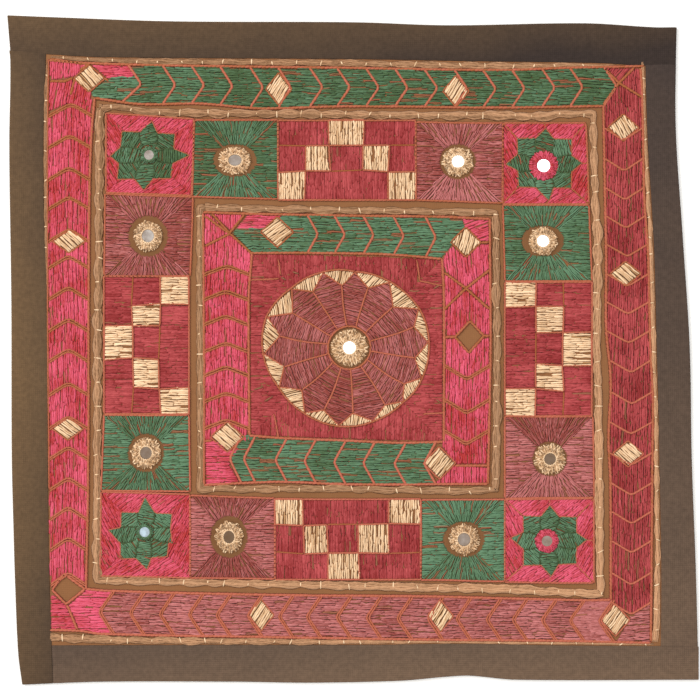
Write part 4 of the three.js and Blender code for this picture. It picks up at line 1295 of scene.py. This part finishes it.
@dataclass
class Ring:
    """The ring of squares round the core: stars, rayed squares and blocks of checks."""

    satin: SatinWork
    outlines: OutlineWork
    spike: float = 0.17  # half width of a pointed petal, as a share of the side that it stands on

    def rays(self, square: Square) -> None:
        """Fills a square with four wedges of floss that meet round its mirror.

        Args:
            square: The square.
        """
        corners = pairs(square.corners)
        mirror = square.mirror
        bare = [polar(*mirror.centre, *[mirror.bare_radius(math.radians(t))] * 2, t)
                for t in range(0, 360, 12)]
        # The side wedges have less painted shade in their gaps than the fans, and every wedge's tone is
        # painted sheen.
        smooth = 0.75 if square.floss is Colour.GREEN else 0.6
        for i in (1, 3):
            wedge = [corners[(i + 1) % 4], corners[i], mirror.centre]
            lean = self.satin.rng.uniform(-3, 3)
            self.satin.fill(square.floss, wedge, lean, square.tones[i], (bare,), flat=smooth)
        for i in (0, 2):
            self.satin.fan(square.floss, (corners[(i + 1) % 4], corners[i]), mirror, square.tones[i], 0.0)

    def star(self, square: Square) -> None:
        """Fills a square with an eight-petalled star on a plain ground.

        Args:
            square: The square.
        """
        tips, corners, centre = pairs(list(square.tips)), pairs(square.corners), square.mirror.centre
        star: Run = []
        petals: list[Run] = []
        notches: list[tuple[Point, Point]] = []
        for quarter in range(4):
            before, after = tips[(2 * quarter - 1) % 8], tips[2 * quarter + 1]
            notches.append((mix(before, after, 0.5 - self.spike), mix(before, after, 0.5 + self.spike)))
        roots: list[tuple[Point, Point]] = []
        waists: list[tuple[Point, Point]] = []
        for left, right in notches:
            # A petal on a side narrows inwards a little; one at a corner fills what is left.
            share = 1 - 0.8 * square.mirror.halo / math.dist(mix(left, right, 0.5), centre)
            inward = [(centre[k] - (left[k] + right[k]) / 2) * share for k in (0, 1)]
            roots.append(tuple(mix((p[0] + inward[0], p[1] + inward[1]), mix(p, centre, share), 0.55)
                               for p in (left, right)))
            middle = mix(mix(left, right, 0.5), centre, share / 2)
            waists.append(tuple(mix(middle, mix(p, root, 0.5), 1.22)
                                for p, root in zip((left, right), roots[-1])))
        for quarter in range(4):
            (left, right), (left_root, right_root) = notches[quarter], roots[quarter]
            left_waist, right_waist = waists[quarter]
            ahead, ahead_waist, ahead_root = (points[(quarter + 1) % 4][0]
                                              for points in (notches, waists, roots))
            side_tip, corner_tip = tips[2 * quarter], tips[2 * quarter + 1]
            star += [left, side_tip, right, corner_tip]
            petals += [[left_root, left_waist, left, side_tip, right, right_waist, right_root],
                       [right_root, right_waist, right, corner_tip, ahead, ahead_waist, ahead_root]]
        hole = circle(centre, square.mirror.halo)
        # The ground: a field at each side, with the star's outline as a hole.
        for quarter in range(4):
            a, b = corners[quarter], corners[(quarter + 1) % 4]
            lean = (38, 62, 32, 118)[quarter]
            tone = square.tones[0] + (0.1, -0.1, 0.15, -0.1)[quarter] + self.satin.rng.uniform(-0.1, 0.1)
            self.satin.fill(Colour.PINK, [a, b, centre], lean, tone, (star,), spacing=1.0, longest=7.0,
                            flat=0.7, half=0.64)
            if square.mirror.thread is Colour.PINK:
                for start, end in ((a, tips[(2 * quarter - 1) % 8]), (mix(a, b, 0.5), tips[2 * quarter])):
                    self.outlines.follow("middle", [start, end], 0.45, half=0.42, rise=0.7)
        smooth = 0.1 if square.mirror.thread is Colour.PINK else 0.45
        for i, petal in enumerate(petals):
            way = math.degrees(math.atan2(tips[i][1] - centre[1], tips[i][0] - centre[0]))
            across = way + 90 + self.satin.rng.uniform(-28, 28)
            tone = square.tones[1] + self.satin.rng.uniform(-0.25, 0.25)
            self.satin.fill(Colour.GREEN, petal, across, tone, (hole,), spacing=0.95, longest=9.0, rise=0.9,
                            flat=smooth, half=0.52, mixed=0.3)
        for ends, waist, inner in zip(notches, waists, roots):
            for k in (0, 1):
                self.satin.seam(Colour.GREEN, ends[k], waist[k])
                self.satin.seam(Colour.GREEN, waist[k], inner[k])
        self.outlines.close("middle", star, 0.7, half=0.34, rise=0.7)

    def checks(self, columns: list[float], rows: list[float], ivory: set[tuple[int, int]],
               angle: float) -> None:
        """Fills a block of checks.

        Args:
            columns: Where the columns end, from the left.
            rows: Where the rows end, from the top.
            ivory: The ivory tiles, as column, row.
            angle: Direction of the floss.
        """
        rng = self.satin.rng
        shift = rng.uniform(-0.9, 0.9, (len(columns), len(rows), 2))
        shift[[0, -1], :, 0] = 0
        shift[:, [0, -1], 1] = 0
        spots = {(c, r): (x + shift[c, r, 0], y + shift[c, r, 1])
                 for c, x in enumerate(columns) for r, y in enumerate(rows)}
        # The blocks beside the core are drawn lighter, with less painted shade in their gaps, than those
        # above and below it, which are worked up and down.
        ivory_tone, ivory_flat = (0.6, 0.5) if angle else (0.72, 0.62)
        for c in range(len(columns) - 1):
            for r in range(len(rows) - 1):
                tile = [spots[c, r + 1], spots[c + 1, r + 1], spots[c + 1, r], spots[c, r]]
                if (c, r) in ivory:
                    self.satin.fill(Colour.IVORY, tile, angle, ivory_tone, spacing=1.2, rise=1.15,
                                    longest=9.0, flat=ivory_flat, missing=0.05, half=0.6)
                    self.outlines.close("middle", tile, 0.8, half=0.5, foot=1.6, rise=0.9)
                else:
                    tone = 0.38 + rng.uniform(-0.12, 0.12)
                    self.satin.fill(Colour.CRIMSON, tile, angle, tone, longest=9.0, rise=0.5, flat=0.8,
                                    half=0.78)
                    # The rows are parted by a thin dark brown line of stem stitch, painted shade where each
                    # tile's stitches go down.
                    edge = [tile[0], tile[1]] if angle == 90 else [tile[1], tile[2]]
                    self.outlines.follow("middle", edge, 0.0, half=0.4, foot=1.25, rise=0.6)

    def build(self) -> None:
        """Works every square and block, and the lines between them."""
        for square in SQUARES:
            work = self.star if square.tips else self.rays
            work(square)
            corners = pairs(square.corners)
            for a, b in zip(corners, [*corners[1:], corners[0]]):
                self.outlines.follow("middle", [a, b], 0.75, half=0.58)
        for block in CHECKS:
            self.checks(*block)
            (left, *_, right), (top, *_, bottom) = block[0], block[1]
            edge = [(left, bottom), (right, bottom), (right, top), (left, top)]
            self.outlines.close("middle", edge, 0.8, half=0.55)


@dataclass
class Rosette:
    """The round flower at the middle, on its crimson ground: pointed petals, an ivory rim and a bare hub."""

    satin: SatinWork
    outlines: OutlineWork
    hub: float = 12.9  # radius of the bare middle
    # Each petal's tip and the valley after it, clockwise from the top: worked by eye, so no two are alike.
    tips: tuple[float, ...] = (
        1.2, 46.6, 22, 40.6, 39.4, 24.6, 45.2, 4.6, 41.2, -16.8, 30, -31, 12, -42.6,
        -8.6, -45.4, -29, -37.8, -44.2, -22.2, -53.4, -2.4, -51.4, 19.8, -36.6, 36.6, -18, 46.2)
    valleys: tuple[float, ...] = (
        9, 37.2, 24, 25.8, 36.6, 13.8, 37.2, -4.8, 30.6, -20.4, 19.2, -33, 0, -37.8,
        -17.4, -36, -30.6, -24, -41.4, -10.2, -43.8, 8.4, -36.2, 22.2, -24, 35, -6.6, 38.6)
    # Short thin lines on the ground round it, which part it from the corners of its field.
    corners: tuple[tuple[float, ...], ...] = (
        (-61.8, 42, -44.4, 42.8), (38.4, 54, 40, 41.6, 54, 38.4), (-47.4, -38.4, -44.6, -53.4),
        (42, -38.4, 54.6, -37.8), (-44.8, 54.6, -43.6, 45))

    def ground(self) -> None:
        """Fills the crimson ground in four wedges, and scatters thin olive stitches over it."""
        rng = self.satin.rng
        centre = ROSETTE_MIRROR.centre
        corners = [on_line("core_b_top", -61.4), on_line("core_b_top", 53.8), on_line("core_b_bottom", 53.8),
                   on_line("core_b_bottom", -62)]
        tips = pairs(list(self.tips))
        rim: Run = []
        for tip, ahead in zip(tips, [*tips[1:], tips[0]]):
            rim.append(mix(centre, tip, 1.01))
            rim += [mix(centre, mix(tip, ahead, share), 1.01 + 0.12 * share * (1 - share))
                    for share in (0.25, 0.5, 0.75)]
        for i, (angle, tone) in enumerate(((90, 0.25), (0, 0.4), (90, 0.35), (0, 0.4))):
            wedge = [corners[i], corners[(i + 1) % 4], centre]
            self.satin.fill(Colour.CRIMSON, wedge, angle, tone, (rim,), longest=8.0, rise=0.4, flat=0.85,
                            half=0.8)
        olive = self.satin.skeins[Colour.CRIMSON]
        half, rise = np.array([0.25, 0.42, 0.25]), np.array([0.15, 0.3, 0.15])
        for _ in range(26):
            turn, near, size = rng.uniform(0, 360), rng.uniform(53, 72), rng.uniform(2.5, 6)
            ends = [polar(*centre, r, r, turn + lean)
                    for r, lean in ((near, 0), (near + size, rng.uniform(-3, 3)))]
            if all(-61 < x < 53 and -51 < y < 54 for x, y in ends):
                path = np.array([ends[0], mix(*ends, 0.5), ends[1]])
                olive.lay(path, half, 1.75, rise, 0.5, 1.0, (0.7, 1.0))
        self.outlines.close("inner", rim, 0.5, half=0.55)
        for line in self.corners:
            self.outlines.follow("inner", pairs(list(line)), 0.7, half=0.42, foot=1.5, rise=0.6)

    def build(self) -> None:
        """Works the whole rosette."""
        self.ground()
        rng, centre = self.satin.rng, ROSETTE_MIRROR.centre
        tips, valleys = pairs(list(self.tips)), pairs(list(self.valleys))

        def hub_point(toward: Point) -> Point:
            """The point of the hub's edge on the way to another point."""
            return mix(centre, toward, self.hub / math.dist(centre, toward))

        for i, tip in enumerate(tips):
            before, after = valleys[i - 1], valleys[i]
            turn = math.degrees(math.atan2(tip[1] - centre[1], tip[0] - centre[0]))
            petal = [hub_point(before), before, tip, after, hub_point(after)]
            # Painted light: a petal whose floss runs across the light is drawn lighter, with more painted
            # shade in its gaps.
            level = abs(math.cos(math.radians(turn)))  # how far its floss runs across the light
            across = turn + 90 + rng.uniform(-12, 12)
            tone = 0.12 + 0.16 * level + rng.uniform(-0.08, 0.12)
            self.satin.fill(Colour.MAUVE, petal, across, tone, spacing=0.95, longest=12.0, rise=0.75,
                            flat=0.6 - 0.6 * level, half=0.54)
            ahead = tips[(i + 1) % len(tips)]
            way = math.degrees(math.atan2(ahead[1] - tip[1], ahead[0] - tip[0]))
            bulge = mix(centre, mix(tip, ahead, 0.5), 1.035)
            slant = way + 62 + rng.uniform(-14, 14)
            self.satin.fill(Colour.IVORY, [tip, after, ahead, bulge], slant, 0.55, spacing=1.1, rise=1.1,
                            longest=20.0, missing=0.01, half=0.56, flat=0.15)
            bow = mix(hub_point(after), after, 0.55)
            bow = (bow[0] + rng.uniform(-1.1, 1.1), bow[1] + rng.uniform(-1.1, 1.1))
            stem = rounded([hub_point(after), bow, after], 2)
            self.outlines.follow("inner", stem, 0.7, half=0.52, rise=0.95)
            self.outlines.follow("inner", [tip, after, ahead], 0.6, half=0.5, rise=0.95)
        self.outlines.close("inner", circle(centre, self.hub), 0.55, half=0.6)


@dataclass
class CouchedCords:
    """Cords of loose tan cotton laid round each frame, and the pale stitches that pinch and hold them."""

    rng: np.random.Generator
    spacing: float = 14.2  # from one couching stitch to the next
    strands: int = 7
    height: float = 1.3
    full: float = 1.6  # half width from which a cord stands at its full height
    pinched: float = 4.2  # how far to each side of a stitch the cord is drawn in
    step: float = 2.4  # between the points that a cord is read at

    def line(self, names: list[str]) -> np.ndarray:
        """The cord's way along one side, or all round the sides given clockwise from the top.

        Args:
            names: The sides' cords.

        Returns:
            A row of x, y and half width for about every step.
        """
        joined = len(names) > 1
        spare, fuller = (0.0, 0.05) if joined else (self.step, 0.15)
        rows = []
        for name in names:
            table = CORDS[name]
            start, end = table[0][0], table[-1][0]
            places = np.linspace(start - spare, end + spare, max(8, round((end - start) / self.step)))
            side = [(*place(name, p, curve(table, p)), curve(table, p, 2) + fuller) for p in places]
            if joined and name.endswith(("right", "bottom")):
                side.reverse()
            if rows:
                rows += self.corner(rows[-1], side[0], along_x(name))
            rows += side
        if joined:
            rows += [*self.corner(rows[-1], rows[0], True), rows[0]]
        return np.array(rows)

    def corner(self, end: tuple[float, ...], start: tuple[float, ...],
               turns_to_x: bool) -> list[tuple[float, ...]]:
        """The cord's tight bend from one side to the next one.

        Args:
            end: The last row of the one side: x, y and half width.
            start: The first row of the next one.
            turns_to_x: Whether the next one runs along x.

        Returns:
            The rows between them.
        """
        spot = (end[0], start[1]) if turns_to_x else (start[0], end[1])
        bend = [mix(end, spot, 0.6), mix(mix(end, spot, 0.9), mix(start, spot, 0.9), 0.5),
                mix(start, spot, 0.6)]
        return [(*point, (end[2] + start[2]) / 2) for point in bend]

    def lay(self, names: list[str], cord: Skein, ticks: Skein, light_falloff: float) -> None:
        """Lays one cord and its couching stitches, which pinch it.

        Args:
            names: The sides that it runs along.
            cord: The piece that its strands go into.
            ticks: The piece that its stitches go into.
            light_falloff: How much lighter its lower right is painted than its upper left, as painted light.
        """
        rng, rows = self.rng, self.line(names)
        xy = rows[:, :2]
        ahead = np.gradient(xy, axis=0)
        ahead /= np.hypot(ahead[:, 0], ahead[:, 1])[:, None]
        left = np.stack([-ahead[:, 1], ahead[:, 0]], 1)
        far = np.concatenate([[0.0], np.cumsum(np.hypot(*np.diff(xy, axis=0).T))])
        count = max(2, round(far[-1] / self.spacing))
        holds = (np.arange(count) + 0.5 + rng.uniform(-0.2, 0.2, count)) * far[-1] / count
        # From 0 at a stitch to 1 well away from it.
        free = np.clip(np.abs(far[:, None] - holds).min(1) / self.pinched, 0, 1)
        swell = 0.68 + 0.42 * free ** 0.7
        stretch = np.searchsorted(holds, far)  # which stretch between two stitches each row is in
        lump = rng.uniform(0.88, 1.12, count + 1)[stretch]
        drift = rng.uniform(-0.35, 0.35, count + 1)[stretch] * free
        half = rows[:, 2] * swell * lump
        # Painted light: the lower right is drawn lighter than the upper left.
        lightened = np.clip((xy[:, 0] - xy[:, 1]) / 300, -0.9, 0.9) * light_falloff - (0.0 if light_falloff else 0.2)
        tapered = np.ones(len(rows))
        if len(names) == 1:
            from_end = np.minimum(np.arange(len(rows)), np.arange(len(rows))[::-1])
            tapered = np.clip(from_end / 1.5, 0.5, 1)
        for k in range(self.strands):
            share = (k + 0.5) / self.strands * 2 - 1
            wave = 0.16 * np.sin(far * rng.uniform(0.25, 0.5) + rng.uniform(0, 6.3))
            path = xy + left * (drift + half * (share * 0.84 + wave))[:, None]
            width = half * (1.25 / self.strands + 0.1) * tapered * rng.uniform(0.9, 1.15)
            rise = self.height * np.clip(half / self.full, 0.45, 1) * (1 - 0.45 * share ** 2) * tapered
            tone = np.clip(rng.uniform(0.2, 0.8) + lightened, 0, 1)
            cord.lay(path, width, GROUND_TOP, rise, tone, float(rng.random() < 0.12) * 0.8)
        tick_half, tick_rise = np.array([0.3, 0.42, 0.42, 0.42, 0.3]), np.array([0.3, 0.45, 0.45, 0.45, 0.3])
        for h in holds:
            i = int(np.abs(far - h).argmin())
            if rows[i, 2] < 0.75:
                continue
            reach, lean = rows[i, 2] * rng.uniform(0.45, 0.9) + 0.2, rng.normal(0.0, 0.4)
            middle = xy[i] + left[i] * rng.uniform(-0.25, 0.25) * rows[i, 2]
            path = np.array([middle + left[i] * reach * s + ahead[i] * lean * s
                             for s in (-1, -0.5, 0, 0.5, 1)])
            top = self.height * min(1.0, rows[i, 2] / self.full)
            foot = GROUND_TOP + np.array([0.2, top * 0.55, top * 0.75, top * 0.55, 0.2])
            ticks.lay(path, tick_half, foot, tick_rise, float(rng.uniform(0.5, 1.0)))

    def build(self) -> list[bpy.types.Object]:
        """Makes the cords of the three frames and their stitches.

        Returns:
            The pieces, two for each frame.
        """
        made = []
        finish, pale = Colour.TAN.value.material(), Colour.IVORY.value.material()
        for frame_name in ("outer", "middle", "inner"):
            cord, ticks = Skein(), Skein()
            names = [f"{frame_name}_{side}" for side in ("top", "right", "bottom", "left")]
            for chain in ([[name] for name in names] if frame_name == "outer" else [names]):
                self.lay(chain, cord, ticks, 0.0 if frame_name == "inner" else 0.4)
            piece = cord.piece(f"couched_cord_{frame_name}", finish, "cord_floss")
            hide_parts(*(f"cord_{name}" for name in names))
            made += [piece, ticks.piece(f"couching_{frame_name}", pale, "cord_floss")]
        return made


@dataclass
class MirrorWork:
    """The round mirrors, each under a ring of buttonhole stitch that laps over its rim."""

    rng: np.random.Generator
    places: list[MirrorPlace]
    packing: int = 26  # stitches in a ring's under layer
    holes: int = 95  # holes of painted shade between the loops of an ivory ring
    plain_holes: int = 50  # and of a plain one
    cording: int = 18  # stitches in the corded inner edge

    def glass(self, spot: MirrorPlace, label: str) -> bpy.types.Object:
        """Makes one mirror: a disc with a ground rim, not quite round.

        Args:
            spot: Its place and sizes.
            label: Its number, as two digits.

        Returns:
            The disc, not yet dressed.
        """
        bpy.ops.object.select_all(action="DESELECT")
        bpy.ops.mesh.primitive_cylinder_add(
            vertices=28, radius=(spot.disc + 0.9) * MM, depth=0.8 * MM,
            location=(spot.x * MM, spot.y * MM, (GROUND_TOP + 0.6) * MM))
        piece = bpy.context.active_object
        piece.name = piece.data.name = f"mirror_glass_{label}"
        bpy.ops.object.transform_apply(location=True, rotation=True, scale=True)
        edge = piece.modifiers.new("Ground rim", "BEVEL")
        edge.width, edge.segments, edge.limit_method = 0.25 * MM, 2, "ANGLE"
        apply_modifiers(piece)
        mesh = piece.data
        co = np.zeros(len(mesh.vertices) * 3)
        mesh.vertices.foreach_get("co", co)
        co = co.reshape(-1, 3)
        turn = np.arctan2(co[:, 1] - spot.y * MM, co[:, 0] - spot.x * MM)
        oval, lobed = self.rng.uniform(0, 6), self.rng.uniform(0, 6)
        grow = 1 + 0.03 * np.sin(2 * turn + oval) + 0.02 * np.sin(3 * turn + lobed)
        for axis, middle, share in ((0, spot.x * MM, 1.0), (1, spot.y * MM, spot.squash)):
            co[:, axis] = middle + (co[:, axis] - middle) * grow * share
        mesh.vertices.foreach_set("co", co.astype(np.float32).ravel())
        for key, value in (("tone", spot.silver), ("cold", spot.cold)):
            values = np.full(len(co), value, np.float32)
            mesh.attributes.new(key, "FLOAT", "POINT").data.foreach_set("value", values)
        mesh.update()
        return piece

    def ring(self, spot: MirrorPlace, skein: Skein) -> None:
        """Works one ring.

        A packed layer, dark in tone and with painted shade along its sides, comes first, then rows of
        slanting stitches that meet in pairs, small holes of painted shade between them, and on an ivory ring
        a corded inner edge.

        Args:
            spot: The mirror's place and sizes.
            skein: The piece that the stitches go into.
        """
        rng = self.rng
        plain = spot.thread is not Colour.IVORY
        inner, outer = spot.disc, spot.ring

        def stroke(first: float, last: float, start: float, end: float, half: float, lift: float, tone: float,
                   crown: float = 1.0) -> None:
            """Lays one stitch outwards, over the glass's rim and down to the cloth.

            Args:
                first: The radius that it starts at.
                last: The radius that it ends at.
                start: The angle that it starts at.
                end: The angle that it ends at.
                half: Its half width.
                lift: How far it lies above the layer under it.
                tone: How light it is, from 0 to 1.
                crown: How clear of the painted shade in the gaps its top is.
            """
            length = last - first
            radii = np.array([first, first + length * 0.35, first + length * 0.7, last])
            path = np.array([spot.around(r, start + (end - start) * s)
                             for r, s in zip(radii, (0, 0.35, 0.7, 1))])
            foot = GROUND_TOP + np.interp(radii, [inner, inner + 1.2, outer], [1.0, 0.75, 0.0]) + lift
            rise = np.array([0.45, 0.6, 0.55, 0.4])
            skein.lay(path, half * np.array([0.8, 1, 1, 0.7]), foot, rise, tone, crown=(0.0, crown))

        for i in range(self.packing):
            turn = i * 360 / self.packing
            stroke(inner - 0.1, outer * 0.93, turn, turn, outer * 0.13, -0.1, 0.2, 0.95 if plain else 0.6)
        third = (outer - inner) / 3
        # The rows of stitches, from the glass outwards: first and last radius, and how many pairs.
        if plain:
            rows = [(inner, inner + third * 2, 17), (inner + third, outer, 22)]
        else:
            rows = [(inner, inner + third * 1.3, 15), (inner + third * 0.8, outer - third * 0.7, 18),
                    (outer - third * 1.2, outer, 21)]
        for first, last, count in rows:
            step = 360 / count
            for i in range(count):
                turn = 360 * (i + rng.uniform(-0.3, 0.3)) / count
                reach = last * (rng.uniform(0.95, 1.03) if plain else rng.uniform(0.86, 1.05))
                for lean in (-0.42, 0.42):
                    near = first + rng.uniform(0, 0.4)
                    start = turn + (lean + rng.uniform(-0.1, 0.1)) * step
                    end = turn + (lean * 0.3 + rng.uniform(-0.3, 0.3)) * step
                    half = 0.42 * rng.uniform(0.85, 1.2)
                    stroke(near, reach, start, end, half, 0.12, float(rng.uniform(0.2, 0.85)))
        for _ in range(self.plain_holes if plain else self.holes):
            # Small holes between the loops, drawn as dark stitches of painted shade.
            at, turn = rng.uniform(inner + 0.7, outer - 0.9), rng.uniform(0, 360)
            stroke(at, at + rng.uniform(0.5, 0.9), turn, turn + rng.uniform(-6, 6), 0.37, 0.55,
                   rng.random(), 0.0)
        for i in range(0 if plain else self.cording):
            turns = [(i + j * 0.62) * 360 / self.cording for j in range(3)]
            path = np.array([spot.around(inner + r, t) for r, t in zip((-0.1, 0.2, 0.5), turns)])
            half, rise = np.array([0.3, 0.42, 0.3]), np.array([0.45, 0.6, 0.4])
            skein.lay(path, half, GROUND_TOP + 1.1, rise, float(rng.uniform(0.4, 0.95)))

    def build(self) -> list[bpy.types.Object]:
        """Makes every mirror and its ring.

        Returns:
            The pieces, a disc and a ring for each mirror.
        """
        silver = MirrorGlass().material()
        made = []
        finishes: dict[Colour, bpy.types.Material] = {}
        for index, spot in enumerate(self.places):
            label = f"{index + 1:02d}"
            piece = finished(self.glass(spot, label), silver)
            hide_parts(f"mirror_{label}")
            skein = Skein()
            self.ring(spot, skein)
            if spot.thread not in finishes:
                finishes[spot.thread] = spot.thread.value.material()
            loop = skein.piece(f"buttonhole_ring_{label}", finishes[spot.thread], "ring_thread")
            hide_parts(f"ring_{label}")
            made += [piece, loop]
        return made


SENSOR = 36.0  # width of the camera's sensor in millimetres


@dataclass(frozen=True)
class Studio:
    """A plain near-white floor, soft light from above and the left, and a camera straight overhead."""

    width: float = 0.42  # metres of the piece's plane across the picture
    centre: Point = (-0.0018, 0.0)
    lens: float = 85.0

    def build(self) -> None:
        """Makes the floor, the lights and the camera."""
        scene = bpy.context.scene
        bpy.ops.object.select_all(action="DESELECT")
        bpy.ops.mesh.primitive_plane_add(size=6, location=(0, 0, -0.0004))
        floor = bpy.context.active_object
        floor.name = "floor"
        material, add = new_material("white_paper_floor")
        shader = add("ShaderNodeBsdfPrincipled", {"Base Color": linear("#fbfbfa"), "Roughness": 0.95,
                                                  "Specular IOR Level": 0.0})
        add("ShaderNodeOutputMaterial", {"Surface": shader.outputs[0]})
        floor.data.materials.append(material)
        world = bpy.data.worlds.new("soft_room")
        world.use_nodes = True
        background = world.node_tree.nodes["Background"]
        background.inputs[0].default_value = linear("#fffdfa")
        background.inputs[1].default_value = 0.62
        scene.world = world
        for name, spot, size, power in (("window_light", (-1.3, 0.9, 1.3), 1.1, 26.0),
                                        ("overhead_light", (0.15, -0.1, 2.2), 1.6, 20.0)):
            light = bpy.data.lights.new(name, "AREA")
            light.size, light.energy, light.color = size, power, (1.0, 0.985, 0.96)
            lamp = bpy.data.objects.new(name, light)
            lamp.location = spot
            lamp.rotation_mode = "QUATERNION"
            lamp.rotation_quaternion = (-Vector(spot)).to_track_quat("-Z", "Y")
            scene.collection.objects.link(lamp)
        view = bpy.data.cameras.new("camera")
        view.lens, view.sensor_width = self.lens, SENSOR
        camera = bpy.data.objects.new("camera", view)
        camera.location = (*self.centre, self.width * self.lens / SENSOR + 0.002)
        scene.collection.objects.link(camera)
        scene.camera = camera
        scene.view_settings.view_transform = "Standard"


def main() -> None:
    logging.basicConfig(level=logging.INFO, format="%(name)s: %(message)s")
    rng = np.random.default_rng(41)
    Studio().build()
    strips = BorderStrips()
    borders = {side: strips.build(side) for side in ("top", "left", "bottom", "right")}
    mirrors_at = [square.mirror for square in SQUARES] + [ROSETTE_MIRROR]
    ground = GroundCloth([spot.centre for spot in mirrors_at]).build()
    satin, outlines = SatinWork(rng), OutlineWork(rng)
    Bands(satin, outlines).build()
    Ring(satin, outlines).build()
    Rosette(satin, outlines).build()
    floss = [*satin.build(), *outlines.build()]
    cords = CouchedCords(rng).build()
    mirrors = MirrorWork(rng, mirrors_at).build()
    for piece in (ground, *borders.values(), *floss, *cords, *mirrors):
        LOG.info("%s: %d vertices, %d faces", piece.name, len(piece.data.vertices), len(piece.data.polygons))


if __name__ == "__main__":
    main()
